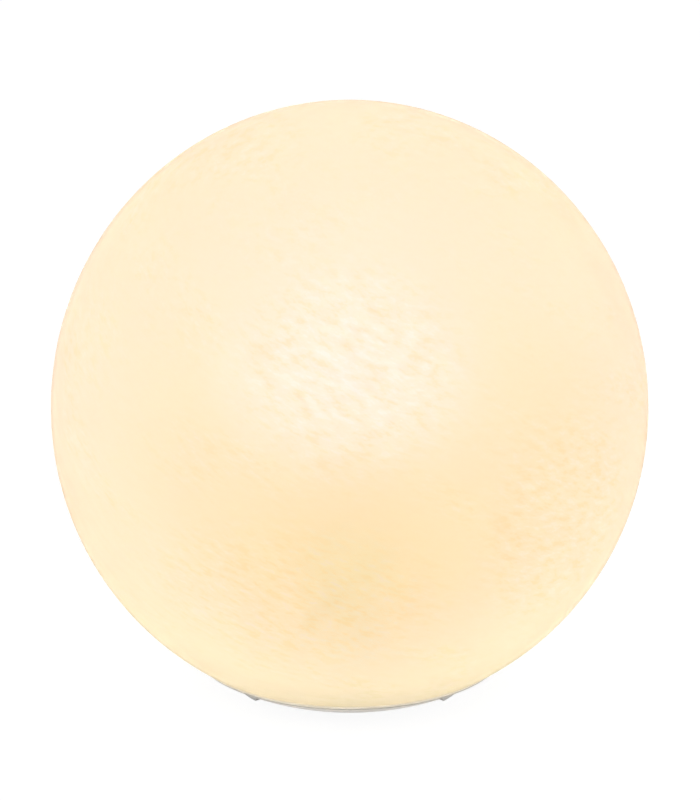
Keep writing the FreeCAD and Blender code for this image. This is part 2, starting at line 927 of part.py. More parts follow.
def terminal_screws():
    """The two clamping screws of the terminals, driven from the side."""
    screws = []
    for side, top in ((1, strap_bottom), (-1, core_bottom)):
        middle = side * (terminal_inner + terminal_length / 2)
        height = top - terminal_height / 2
        shank = Part.makeCylinder(
            terminal_screw_radius,
            terminal_width / 2 - terminal_wire_radius / 2,
            Vector(middle, terminal_wire_radius / 2, height),
            Vector(0, 1, 0),
        )
        head = Part.makeCylinder(
            terminal_screw_head_radius,
            terminal_screw_head_height,
            Vector(middle, terminal_width / 2, height),
            Vector(0, 1, 0),
        )
        screws.append(shank.fuse(head).removeSplitter())
    return Part.makeCompound(screws)


def centre_contact():
    """Sprung plunger: head under the bulb's tip, stem through the core and a collar below."""
    return turned(
        (0, collar_bottom),
        (plunger_collar_radius, collar_bottom),
        (plunger_collar_radius, collar_top),
        (plunger_stem_radius, collar_top),
        (plunger_stem_radius, plunger_head_bottom),
        (plunger_head_radius, plunger_head_bottom),
        (plunger_head_radius, plunger_top),
        (0, plunger_top),
    )


def contact_spring():
    """Coil spring round the contact's stem, its half turns drawn as arcs of the helix."""
    low = well_floor + spring_wire_radius
    high = plunger_head_bottom - spring_wire_radius
    count = 2 * spring_turns

    def on_helix(half_turns):
        share = half_turns / count
        angle = pi * half_turns
        return Vector(
            spring_coil_radius * cos(angle), spring_coil_radius * sin(angle), low + (high - low) * share
        )

    arcs = [
        Part.Arc(on_helix(i), on_helix(i + 1 / 2), on_helix(i + 1)).toShape() for i in range(count)
    ]
    path = Part.Wire(arcs)
    start = on_helix(0)
    along = arcs[0].tangentAt(arcs[0].FirstParameter)
    section = Part.Wire(Part.makeCircle(spring_wire_radius, start, along))
    return path.makePipeShell([section], True, False)


def bulb_contact():
    """Tip of the bulb, with a short stem in the insulator."""
    rounded = bulb_tip_height / 2
    return turned(
        (0, bulb_bottom),
        (bulb_tip_radius - rounded, bulb_bottom),
        (
            (
                bulb_tip_radius - rounded * (1 - sin(half_quarter)),
                bulb_bottom + rounded * (1 - cos(half_quarter)),
            ),
            (bulb_tip_radius, bulb_bottom + rounded),
        ),
        (bulb_tip_radius, bulb_bottom + bulb_tip_height),
        (bulb_tip_stem_radius, bulb_bottom + bulb_tip_height),
        (bulb_tip_stem_radius, bulb_bottom + bulb_tip_height + bulb_tip_stem_height),
        (0, bulb_bottom + bulb_tip_height + bulb_tip_stem_height),
    )


def bulb_cap_insulator():
    """Black insulating cone between the tip and the screw cap."""
    hole = bulb_tip_stem_radius + running_gap
    outer = bulb_cap_radius - bulb_cap_wall
    return turned(
        (hole, insulator_bottom),
        (bulb_tip_radius, insulator_bottom),
        (outer - bulb_cap_wall, cap_bottom),
        (outer, cap_bottom),
        (outer, cap_bottom + insulator_height),
        (hole, cap_bottom + insulator_height),
    )


def bulb_cap():
    """Thin metal screw cap with a flared upper edge."""
    inner = bulb_cap_radius - bulb_cap_wall
    flare = bulb_cap_radius + bulb_cap_flare
    return turned(
        (inner, cap_bottom),
        (bulb_cap_radius, cap_bottom),
        (bulb_cap_radius, cap_top - bulb_cap_flare_height),
        (flare, cap_top),
        (flare - bulb_cap_wall, cap_top),
        (inner, cap_top - bulb_cap_flare_height),
    )


def housing_curve(inset, bottom, top):
    """Radii and heights of the housing's slow S curve, an inset inside its skin."""
    low_radius = bulb_cap_radius + bulb_cap_flare + bulb_housing_neck - inset
    high_radius = parting_radius - inset
    middle = bottom + (top - bottom) * bulb_waist_height_share
    waist = low_radius + (high_radius - low_radius) * bulb_waist_radius_share
    return low_radius, (waist, middle), high_radius


def bulb_housing():
    """White lower housing of the bulb: a neck plugged in the cap and a widening open cup."""
    low, waist, high = housing_curve(0, cap_top, parting_height)
    low_inner, waist_inner, high_inner = housing_curve(bulb_wall, cap_top, parting_height)
    plug = bulb_cap_radius - bulb_cap_wall
    return turned(
        (plug - bulb_wall, cap_top - bulb_socket_depth),
        (plug, cap_top - bulb_socket_depth),
        (plug, cap_top - bulb_cap_flare_height),
        (bulb_cap_radius + bulb_cap_flare - bulb_cap_wall, cap_top),
        (low, cap_top),
        (waist, (high, parting_height)),
        (high_inner, parting_height),
        (waist_inner, (plug - bulb_wall, cap_top)),
    )


def bulb_heatsink():
    """Thin aluminium cup pressed in the housing, with a floor that carries the LED board."""
    seat = parting_height - bulb_socket_depth
    _, (waist, middle), high = housing_curve(bulb_wall, cap_top, parting_height)
    slope = (high - waist) / (parting_height - middle)
    outer_top = high - running_gap
    outer_low = outer_top - (bulb_socket_depth + heatsink_wall) * slope - running_gap
    return turned(
        (0, seat - heatsink_wall),
        (outer_low, seat - heatsink_wall),
        (outer_top, parting_height),
        (outer_top - heatsink_wall, parting_height),
        (outer_low - heatsink_wall, seat),
        (0, seat),
    )


def led_seat():
    """Height of the LED board's underside, on the heat sink's floor."""
    return parting_height - bulb_socket_depth


def bulb_led_board():
    """Round board that carries the light-emitting chips."""
    radius = led_circle + led_length + led_board_inset
    return cylinder(radius, led_seat(), led_seat() + led_board_thickness)


def bulb_leds():
    """Ring of chips on the LED board."""
    bottom = led_seat() + led_board_thickness
    chip = block(
        (led_circle - led_width / 2, -led_length / 2, bottom),
        (led_circle + led_width / 2, led_length / 2, bottom + led_height),
    )
    return Part.makeCompound([at_angle(chip, angle) for angle in steps(led_count)])


def bulb_driver_board():
    """Driver board with its capacitor, standing in the neck of the housing."""
    bottom = led_seat() - heatsink_wall - driver_height
    board = block(
        (-driver_width / 2, -driver_thickness / 2, bottom),
        (driver_width / 2, driver_thickness / 2, bottom + driver_height),
    )
    can_bottom = bottom + driver_height / 3
    can_top = can_bottom + driver_part_height
    capacitor = cylinder(driver_part_radius, can_bottom, can_top, 0, driver_part_radius)
    return board.fuse(capacitor).removeSplitter()


def bulb_dome():
    """Frosted diffuser: a ball cut off at the parting line, with a short spigot in the housing."""
    centre = ball_centre
    inner_ball = bulb_ball_radius - bulb_wall
    angle_out = atan2(-bulb_parting_drop, parting_radius)
    inner_parting = sqrt(inner_ball**2 - bulb_parting_drop**2)
    angle_in = atan2(-bulb_parting_drop, inner_parting)

    def on_ball(radius, angle):
        return (radius * cos(angle), centre + radius * sin(angle))

    return turned(
        (parting_radius, parting_height),
        (on_ball(bulb_ball_radius, (angle_out + pi / 2) / 2), (0, centre + bulb_ball_radius)),
        (0, centre + inner_ball),
        (on_ball(inner_ball, (angle_in + pi / 2) / 2), (inner_parting, parting_height)),
    )


pieces = {
    "glass_globe": glass_globe(),
    "rim_gasket": rim_gasket(),
    "base_dish": base_dish(),
    "bottom_plate": bottom_plate(),
    "bottom_plate_screws": bottom_plate_screws(),
    "cord_gland": cord_gland(),
    "cord_clamp": cord_clamp(),
    "cord_clamp_screws": cord_clamp_screws(),
    "nipple_tube": nipple_tube(),
    "nipple_locknut": nipple_locknut(),
    "nipple_washer": nipple_washer(),
    "stem_sleeve": stem_sleeve(),
    "holder_cap": holder_cap(),
    "holder_locking_screw": holder_locking_screw(),
    "holder_skirt": holder_skirt(),
    "holder_core": holder_core(),
    "screw_shell": screw_shell(),
    "side_contact": side_contact(),
    "live_strap": live_strap(),
    "terminal_live": terminal(1, strap_bottom),
    "terminal_neutral": terminal(-1, core_bottom),
    "terminal_screws": terminal_screws(),
    "centre_contact": centre_contact(),
    "contact_spring": contact_spring(),
    "bulb_contact": bulb_contact(),
    "bulb_cap_insulator": bulb_cap_insulator(),
    "bulb_cap": bulb_cap(),
    "bulb_housing": bulb_housing(),
    "bulb_heatsink": bulb_heatsink(),
    "bulb_driver_board": bulb_driver_board(),
    "bulb_led_board": bulb_led_board(),
    "bulb_leds": bulb_leds(),
    "bulb_dome": bulb_dome(),
}
for number, angle in enumerate(steps(clip_count, clip_first_angle), 1):
    pieces[f"globe_clip_{number}"] = at_angle(globe_clip(), angle)

os.makedirs("parts", exist_ok=True)
for name, shape in pieces.items():
    shape.exportStep(f"parts/{name}.step")
    box = shape.BoundBox
    print(
        f"{name}: valid {shape.isValid()}, solids {len(shape.Solids)}, volume {shape.Volume:.1f}, "
        f"height {box.ZMin:.2f} to {box.ZMax:.2f}"
    )
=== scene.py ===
"""Globe table lamp: finishes, detailed pieces and the studio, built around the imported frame."""

import logging
import math
from dataclasses import dataclass
from enum import Enum
from functools import cached_property

import bmesh
import bpy
from mathutils import Matrix, Vector


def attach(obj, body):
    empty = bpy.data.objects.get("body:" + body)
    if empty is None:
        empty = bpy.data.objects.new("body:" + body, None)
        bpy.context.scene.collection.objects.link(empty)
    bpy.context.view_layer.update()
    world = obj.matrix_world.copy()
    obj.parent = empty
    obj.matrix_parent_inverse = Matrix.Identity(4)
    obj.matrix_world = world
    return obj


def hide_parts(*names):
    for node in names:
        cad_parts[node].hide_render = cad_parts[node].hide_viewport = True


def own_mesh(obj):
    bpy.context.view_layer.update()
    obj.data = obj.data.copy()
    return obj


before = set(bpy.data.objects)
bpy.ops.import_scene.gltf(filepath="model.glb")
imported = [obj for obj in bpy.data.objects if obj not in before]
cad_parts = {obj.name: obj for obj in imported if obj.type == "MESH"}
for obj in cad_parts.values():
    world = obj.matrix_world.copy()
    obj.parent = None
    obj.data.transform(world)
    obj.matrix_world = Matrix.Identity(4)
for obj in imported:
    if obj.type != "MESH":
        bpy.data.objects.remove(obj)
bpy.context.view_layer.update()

log = logging.getLogger("globe_lamp")
MM = 0.001
FULL_TURN = 2 * math.pi
WELD_MM = 1e-3
WHITE = (1.0, 1.0, 1.0, 1.0)
Triple = tuple[float, float, float]
Colour = Triple
Point = tuple[float, float]
Mesh = bmesh.types.BMesh
Edges = list[bmesh.types.BMEdge]
Node = bpy.types.Node
Socket = bpy.types.NodeSocket
Sockets = dict[str | int, object]


class Body(Enum):
    """The moving groups of the lamp that a piece can ride on."""

    BASE = "base"
    SEAT = "globe_seat"
    GLOBE = "globe"
    CONTACT = "contact"
    BULB_TIP = "bulb_tip"
    BULB = "bulb"


class Signal:
    """A number carried by a shader socket. Its operators add Math nodes."""

    def __init__(self, bench: "NodeBench", socket: Socket) -> None:
        """Wraps an output socket of a bench's material."""
        self.bench = bench
        self.socket = socket

    def _math(self, operation: str, first: object, second: object) -> "Signal":
        """The result of one Math node on two values or signals."""
        return self.bench.signal("ShaderNodeMath", {"operation": operation}, {0: first, 1: second})

    def __add__(self, other: object) -> "Signal":
        """The sum of two numbers."""
        return self._math("ADD", self, other)

    def __rsub__(self, other: object) -> "Signal":
        """The difference from a plain number in front."""
        return self._math("SUBTRACT", other, self)

    def __mul__(self, other: object) -> "Signal":
        """The product of two numbers."""
        return self._math("MULTIPLY", self, other)

    def larger(self, other: object) -> "Signal":
        """The larger of two numbers."""
        return self._math("MAXIMUM", self, other)


@dataclass(frozen=True)
class Spot:
    """A soft-edged ellipsoid that marks a patch of a surface. Sizes are in millimetres."""

    centre_mm: Triple
    reach_mm: Triple
    core: float = 0.4


class NodeBench:
    """Builds one node tree, every node through the same method."""

    def __init__(self, owner: bpy.types.Material | bpy.types.World) -> None:
        """Empties a node tree and takes it over.

        Args:
            owner: the material or world that the tree belongs to.
        """
        owner.use_nodes = True
        self.tree = owner.node_tree
        self.tree.nodes.clear()

    def add(
        self, kind: str, settings: dict[str, object] | None = None, sockets: Sockets | None = None
    ) -> Node:
        """Adds a node, sets its settings, then its sockets.

        Args:
            kind: the node's type name.
            settings: its own properties.
            sockets: values, signals or output sockets by input name or number.

        Returns:
            The new node.
        """
        node = self.tree.nodes.new(kind)
        for key, value in (settings or {}).items():
            setattr(node, key, value)
        for key, value in (sockets or {}).items():
            source = getattr(value, "socket", value)
            if isinstance(source, Socket):
                self.tree.links.new(source, node.inputs[key])
            else:
                node.inputs[key].default_value = value
        return node

    def signal(
        self, kind: str, settings: dict[str, object] | None, sockets: Sockets, output: int | str = 0
    ) -> Signal:
        """Adds a node, and returns one of its outputs as a number."""
        return Signal(self, self.add(kind, settings, sockets).outputs[output])

    @cached_property
    def place(self) -> Socket:
        """The Object coordinates, in metres."""
        return self.add("ShaderNodeTexCoord").outputs["Object"]

    @cached_property
    def height(self) -> Signal:
        """The height above the table, in metres."""
        return self.signal("ShaderNodeSeparateXYZ", None, {0: self.place}, "Z")

    def noise(
        self, size_mm: float, detail: float = 2.0, roughness: float = 0.5, place: Socket | None = None
    ) -> Signal:
        """Smooth noise around 0.5, by its feature size, its finer layers and their strength."""
        sockets = {"Scale": 1 / (size_mm * MM), "Detail": detail, "Roughness": roughness}
        return self.signal("ShaderNodeTexNoise", None, sockets | {"Vector": place or self.place})

    def stretched(self, scale: Triple, place: Socket | None = None) -> Socket:
        """Coordinates scaled apart along X, Y and Z."""
        return self.add("ShaderNodeMapping", None, {"Vector": place or self.place, "Scale": scale}).outputs[0]

    def near(self, spot: Spot) -> Signal:
        """One inside a soft-edged ellipsoid, falling to zero at its surface.

        Args:
            spot: the ellipsoid.

        Returns:
            The share.
        """
        scale = tuple(1 / (reach * MM) for reach in spot.reach_mm)
        shift = tuple(-centre / reach for centre, reach in zip(spot.centre_mm, spot.reach_mm))
        local = self.add("ShaderNodeMapping", None, {"Vector": self.place, "Location": shift, "Scale": scale})
        length = self.signal("ShaderNodeVectorMath", {"operation": "LENGTH"}, {0: local.outputs[0]}, "Value")
        return self.band(length, spot.core, 1.0, 1.0, 0.0)

    def band(self, value: object, low: float, high: float, start: float = 0.0, stop: float = 1.0) -> Signal:
        """A number carried smoothly from low..high to start..stop, and held at its ends."""
        sockets = {0: value, 1: low, 2: high, 3: start, 4: stop}
        return self.signal("ShaderNodeMapRange", {"interpolation_type": "SMOOTHSTEP"}, sockets)

    def blend(self, share: object, first: object, second: object, mode: str = "MIX") -> Socket:
        """Two colours or their sockets, mixed by a share.

        Args:
            share: 0 for the first colour, 1 for the second.
            first: the lower colour.
            second: the upper colour.
            mode: how it is laid on the lower.

        Returns:
            The mixed colour.
        """
        lower, upper = ((*c, 1.0) if isinstance(c, tuple) else c for c in (first, second))
        settings = {"data_type": "RGBA", "blend_type": mode, "clamp_factor": True}
        return self.add("ShaderNodeMix", settings, {0: share, 6: lower, 7: upper}).outputs[2]

    def bump(self, height: Signal, depth_mm: float, normal: Socket | None = None) -> Socket:
        """A bump of a given depth.

        Args:
            height: the height signal, from 0 to 1.
            depth_mm: the depth that a height of 1 stands for.
            normal: the normal that it is laid on.

        Returns:
            The bumped normal.
        """
        sockets = {"Height": height, "Distance": depth_mm * MM, "Strength": 1.0}
        if normal is not None:
            sockets["Normal"] = normal
        return self.add("ShaderNodeBump", None, sockets).outputs[0]

    def soft_edge(self, radius_mm: float) -> Socket:
        """Normal of a surface whose sharp edges look rounded to a radius."""
        return self.add("ShaderNodeBevel", {"samples": 4}, {"Radius": radius_mm * MM}).outputs[0]


@dataclass(frozen=True)
class Skin:
    """A finish of one Principled surface in two main colours. Each kind says what feeds its sockets."""

    name: str
    colour: Colour
    shade: Colour

    def material(self) -> bpy.types.Material:
        """Builds the finish.

        Returns:
            The node material.
        """
        material = bpy.data.materials.new(self.name)
        bench = NodeBench(material)
        shader = bench.add("ShaderNodeBsdfPrincipled", None, self.sockets(bench))
        bench.add("ShaderNodeOutputMaterial", None, {"Surface": shader.outputs[0]})
        return material

    def sockets(self, bench: NodeBench) -> Sockets:
        """What feeds the surface."""
        raise NotImplementedError


@dataclass(frozen=True)
class OpalGlass(Skin):
    """Blown opal glass, lit from inside: a satin skin with fine wisps drawn round by the blowing."""

    wisp_body: Colour = (0.77, 0.755, 0.625)
    pale_body: Colour = (0.90, 0.895, 0.925)
    glow: tuple[tuple[float, Colour], ...] = (
        (13.6, (0.125, 0.103, 0.062)),
        (15.0, (0.118, 0.092, 0.026)),
        (34.0, (0.144, 0.1080, 0.0370)),
        (86.0, (0.146, 0.0875, 0.0280)),
        (149.0, (0.146, 0.0815, 0.0310)),
        (175.0, (0.146, 0.0840, 0.0300)),
        (213.0, (0.146, 0.0905, 0.0265)),
        (238.0, (0.146, 0.0810, 0.0230)),
    )
    # Painted shade: the glow on the upper front of the globe is dimmer and warmer.
    front: Colour = (0.146, 0.0595, 0.0140)
    # Amber tone of the glass with painted shadow of the housing and holder, in the glow on the lower front.
    amber_and_painted_shadow: Colour = (0.141, 0.0590, 0.0010)
    # Painted shadow of the holder and housing, in the glow low on the front.
    low: Colour = (0.1455, 0.0975, 0.0020)
    wisp_tint: Colour = (0.92, 0.985, 0.55)
    # Patch of painted shade on the upper front.
    front_painted_shade_cloud: Spot = Spot((-2.0, -106.0, 200.0), (137.0, 193.0, 74.0), 0.24)
    # Patch of amber tone and painted shadow of the housing and holder, on the lower front.
    amber_and_painted_shadow_cloud: Spot = Spot((10.0, -100.0, 137.0), (127.0, 100.0, 86.0), 0.45)
    # The bright patch of the bulb's light, kept clear of that painted shadow.
    hot_cloud: Spot = Spot((-2.0, -112.0, 176.0), (67.0, 60.0, 53.0), 0.57)
    # Patch of painted shadow of the holder, low on the front.
    holder_painted_shadow_cloud: Spot = Spot((1.5, -112.0, 99.5), (75.0, 60.0, 65.0), 0.0)
    # Front patches where the wisps are stronger; the one low on the right also darkens that side as painted
    # shade.
    streaks: tuple[Spot, ...] = (
        Spot((0.0, -112.0, 172.0), (58.0, 60.0, 54.0), 0.45),
        Spot((84.0, -88.0, 102.0), (54.0, 60.0, 62.0), 0.4),
        Spot((-22.0, -104.0, 80.0), (82.0, 60.0, 48.0), 0.35),
    )
    roughness: float = 0.7
    twist_per_m: float = 9.5
    wisp_mm: float = 5.5
    cloud_mm: float = 42.0
    speck_mm: float = 7.0
    ripple_mm: float = 9.0
    satin_mm: float = 0.35

    def sockets(self, bench: NodeBench) -> Sockets:
        """Opal body and glow, both crossed by wisps that follow the blowing's twist, with painted shade and
        shadow on the front.

        Args:
            bench: the material's bench.

        Returns:
            What feeds the surface.
        """
        turn = {"Vector": bench.place, "Angle": bench.height * self.twist_per_m}
        drawn = bench.add("ShaderNodeVectorRotate", {"rotation_type": "Z_AXIS"}, turn).outputs[0]
        fine = bench.noise(self.wisp_mm, 4.0, 0.66, bench.stretched((1.0, 1.0, 1.5), drawn))
        patch = bench.band(bench.noise(self.cloud_mm, place=drawn), 0.46, 0.68, 0.12, 0.75)
        for spot in self.streaks:
            patch = patch.larger(bench.near(spot))
        wisp = bench.band(fine, 0.49, 0.66) * patch
        pale = bench.band(fine, 0.48, 0.34) * patch
        speck = bench.band(bench.noise(self.speck_mm, 0.0, 0.0), 0.855, 0.875, 0.0, 0.5)
        # Painted shadow of the housing and holder with the glass's amber tone: it tints body and glow on the
        # lower front, clear of the bulb's bright patch.
        amber_and_painted_shadow = bench.near(self.amber_and_painted_shadow_cloud) * (1.0 - bench.near(self.hot_cloud))
        body = bench.blend(wisp, bench.blend(amber_and_painted_shadow, self.colour, self.shade), self.wisp_body)
        # Painted shade in the glow: dimmer on the upper front, with painted shadows of the housing and holder
        # below.
        glow = bench.blend(bench.near(self.front_painted_shade_cloud), self._glow(bench), self.front)
        glow = bench.blend(amber_and_painted_shadow, glow, self.amber_and_painted_shadow)
        glow = bench.blend(bench.near(self.holder_painted_shadow_cloud), glow, self.low)
        ripple = bench.noise(self.ripple_mm, place=bench.stretched((1.0, 1.0, 0.6), drawn))
        satin = bench.noise(self.satin_mm, 1.0)
        return {
            "Base Color": bench.blend(pale, body, self.pale_body),
            "Roughness": bench.band(ripple, 0.3, 0.7, self.roughness - 0.04, self.roughness + 0.04),
            "IOR": 1.45,
            "Transmission Weight": 0.8,
            "Emission Color": bench.blend(wisp * 0.6 + speck, glow, self.wisp_tint, "MULTIPLY"),
            "Emission Strength": 1.0,
            "Normal": bench.bump(satin, 0.004, bench.bump(ripple, 0.05)),
        }

    def _glow(self, bench: NodeBench) -> Colour | Socket:
        """The lamp's light in the glass, which changes a little with the height.

        Args:
            bench: the material's bench.

        Returns:
            The colour of the glow.
        """
        below, colour = self.glow[0]
        for level, above in self.glow[1:]:
            colour = bench.blend(bench.band(bench.height, below * MM, level * MM), colour, above)
            below = level
        return colour


@dataclass(frozen=True)
class MouldedPlastic(Skin):
    """Injection-moulded plastic: eroded grain, faint flow clouds and softened edges."""

    roughness: float = 0.42
    grain_mm: float = 0.35
    grain_depth_mm: float = 0.01
    edge_mm: float = 0.35
    sheen: float = 0.0
    flow_mm: float = 26.0
    dust_mm: float = 2.2

    def sockets(self, bench: NodeBench) -> Sockets:
        """Clouds of flow and dust over the eroded grain.

        Args:
            bench: the material's bench.

        Returns:
            What feeds the surface.
        """
        flow = bench.noise(self.flow_mm, 3.0, 0.55)
        dust = bench.noise(self.dust_mm, 4.0, 0.6)
        grain = bench.noise(self.grain_mm, 2.0, 0.6)
        share = bench.band(flow, 0.35, 0.7, 0.0, 0.6) + bench.band(dust, 0.55, 0.8, 0.0, 0.4)
        worn = dust * 0.5 + grain * 0.5
        return {
            "Base Color": bench.blend(share, self.colour, self.shade),
            "Roughness": bench.band(worn, 0.35, 0.65, self.roughness - 0.07, self.roughness + 0.07),
            "Sheen Weight": self.sheen,
            "Normal": bench.bump(grain, self.grain_depth_mm, bench.soft_edge(self.edge_mm)),
        }


class Worked(Enum):
    """How a metal was last worked, which sets the run of its marks."""

    TURNED = (1.0, 1.0, 14.0)
    ROLLED = (1.0, 12.0, 1.0)
    PLATED = (1.0, 1.0, 1.0)


@dataclass(frozen=True)
class Metal(Skin):
    """Bare or plated metal with its working marks, handling smears and a little tarnish."""

    roughness: float
    worked: Worked
    mark_mm: float = 0.7
    mark_depth_mm: float = 0.006
    tarnish_share: float = 0.5
    edge_mm: float = 0.12
    smear_mm: float = 7.0
    spot_mm: float = 1.6

    def sockets(self, bench: NodeBench) -> Sockets:
        """Smears and spots of tarnish over the working marks.

        Args:
            bench: the material's bench.

        Returns:
            What feeds the surface.
        """
        marks = bench.noise(self.mark_mm, 3.0, 0.6, bench.stretched(self.worked.value))
        smear = bench.noise(self.smear_mm, 3.0, 0.6)
        spots = bench.noise(self.spot_mm, 3.0, 0.65)
        share = bench.band(smear * 0.6 + spots * 0.4, 0.45, 0.66, 0.0, self.tarnish_share)
        worn = smear * 0.5 + marks * 0.5
        return {
            "Base Color": bench.blend(share, self.colour, self.shade),
            "Metallic": 1.0,
            "Roughness": bench.band(worn, 0.3, 0.7, self.roughness - 0.08, self.roughness + 0.12),
            "Normal": bench.bump(marks, self.mark_depth_mm, bench.soft_edge(self.edge_mm)),
        }


@dataclass(frozen=True)
class Enamel(Skin):
    """Baked powder enamel on sheet steel: orange peel, with the odd rubbed edge."""

    cloud_mm: float = 30.0
    peel_mm: float = 1.3
    peel_depth_mm: float = 0.02
    roughness: float = 0.38
    edge_mm: float = 0.3

    def sockets(self, bench: NodeBench) -> Sockets:
        """Faint clouds over the orange peel, under a thin coat.

        Args:
            bench: the material's bench.

        Returns:
            What feeds the surface.
        """
        peel = bench.noise(self.peel_mm)
        clouds = bench.noise(self.cloud_mm, 3.0, 0.6)
        return {
            "Base Color": bench.blend(bench.band(clouds, 0.4, 0.7), self.colour, self.shade),
            "Roughness": bench.band(peel, 0.3, 0.7, self.roughness - 0.05, self.roughness + 0.08),
            "Coat Weight": 0.25,
            "Coat Roughness": 0.3,
            "Normal": bench.bump(peel, self.peel_depth_mm, bench.soft_edge(self.edge_mm)),
        }


@dataclass(frozen=True)
class Glaze(Skin):
    """Fired porcelain under a clear glaze, with fine pinholes."""

    cloud_mm: float = 6.0
    pit_mm: float = 0.5
    pit_depth_mm: float = 0.02
    edge_mm: float = 0.35

    def sockets(self, bench: NodeBench) -> Sockets:
        """Clouded clay with pits, under the glaze.

        Args:
            bench: the material's bench.

        Returns:
            What feeds the surface.
        """
        clouds = bench.noise(self.cloud_mm, 4.0, 0.6)
        pits = bench.band(bench.noise(self.pit_mm, 1.0), 0.68, 0.8, 1.0, 0.0)
        return {
            "Base Color": bench.blend(bench.band(clouds, 0.4, 0.7), self.colour, self.shade),
            "Roughness": bench.band(clouds, 0.3, 0.7, 0.16, 0.3),
            "Coat Weight": 0.6,
            "Coat Roughness": 0.08,
            "Normal": bench.bump(pits, self.pit_depth_mm, bench.soft_edge(self.edge_mm)),
        }


@dataclass(frozen=True)
class SoftSilicone(Skin):
    """Pale, slightly clouded silicone with a dusty matt skin, which pipes some of the lamp's light."""

    light: Colour = (0.86, 0.85, 0.82)
    piped: float = 0.12
    cloud_mm: float = 12.0
    dust_mm: float = 0.5

    def sockets(self, bench: NodeBench) -> Sockets:
        """Clouds under a dusty skin, and the piped light.

        Args:
            bench: the material's bench.

        Returns:
            What feeds the surface.
        """
        clouds = bench.noise(self.cloud_mm, 3.0, 0.6)
        dust = bench.noise(self.dust_mm, 3.0, 0.7)
        return {
            "Base Color": bench.blend(bench.band(clouds, 0.35, 0.7), self.colour, self.shade),
            "Roughness": bench.band(dust, 0.3, 0.7, 0.5, 0.7),
            "Sheen Weight": 0.2,
            "Emission Color": bench.blend(clouds, self.light, self.shade),
            "Emission Strength": self.piped,
            "Normal": bench.bump(dust, 0.012),
        }


@dataclass(frozen=True)
class LitDiffuser(Skin):
    """Frosted bulb diffuser, lit from inside and brightest low down, where its chips are near."""

    glow: Colour = (0.40, 0.33, 0.60)
    edge_glow: Colour = (0.64, 0.60, 1.12)
    edge_height_mm: float = 123.0
    full_height_mm: float = 146.0
    frost_mm: float = 0.6

    def sockets(self, bench: NodeBench) -> Sockets:
        """Frost over a glow that fades upwards.

        Args:
            bench: the material's bench.

        Returns:
            What feeds the surface.
        """
        frost = bench.noise(self.frost_mm, 2.0, 0.6)
        share = bench.band(bench.height, self.edge_height_mm * MM, self.full_height_mm * MM)
        return {
            "Base Color": bench.blend(bench.band(frost, 0.3, 0.7), self.colour, self.shade),
            "Roughness": bench.band(frost, 0.3, 0.7, 0.4, 0.55),
            "Emission Color": bench.blend(share, self.edge_glow, self.glow),
            "Emission Strength": 1.0,
            "Normal": bench.bump(frost, 0.008),
        }


@dataclass(frozen=True)
class CircuitBoard(Skin):
    """Coated circuit board with etched tracks under its mask."""

    cell_mm: float = 2.4
    cloth_mm: float = 0.5

    def sockets(self, bench: NodeBench) -> Sockets:
        """Tracks along the edges of cells, under the mask.

        Args:
            bench: the material's bench.

        Returns:
            What feeds the surface.
        """
        settings = {"feature": "DISTANCE_TO_EDGE", "distance": "EUCLIDEAN"}
        sockets = {"Vector": bench.place, "Scale": 1 / (self.cell_mm * MM), "Randomness": 0.35}
        cells = bench.signal("ShaderNodeTexVoronoi", settings, sockets, "Distance")
        track = bench.band(cells, 0.06, 0.1, 1.0, 0.0)
        return {
            "Base Color": bench.blend(track * 0.5, self.colour, self.shade),
            "Roughness": bench.band(bench.noise(self.cloth_mm), 0.3, 0.7, 0.3, 0.45),
            "Coat Weight": 0.4,
            "Coat Roughness": 0.2,
            "Normal": bench.bump(track, 0.03, bench.soft_edge(0.1)),
        }


@dataclass(frozen=True)
class Phosphor(Skin):
    """Yellow phosphor of the light-emitting chips, under a clear dome of silicone."""

    light: Colour = (1.0, 0.9, 0.6)
    light_shade: Colour = (1.0, 0.8, 0.4)
    grain_mm: float = 0.25

    def sockets(self, bench: NodeBench) -> Sockets:
        """Grains that colour both the phosphor and its light.

        Args:
            bench: the material's bench.

        Returns:
            What feeds the surface.
        """
        grains = bench.noise(self.grain_mm, 2.0, 0.6)
        share = bench.band(grains, 0.3, 0.7)
        return {
            "Base Color": bench.blend(share, self.colour, self.shade),
            "Roughness": bench.band(grains, 0.3, 0.7, 0.2, 0.4),
            "Emission Color": bench.blend(share, self.light, self.light_shade),
            "Emission Strength": 1.5,
        }


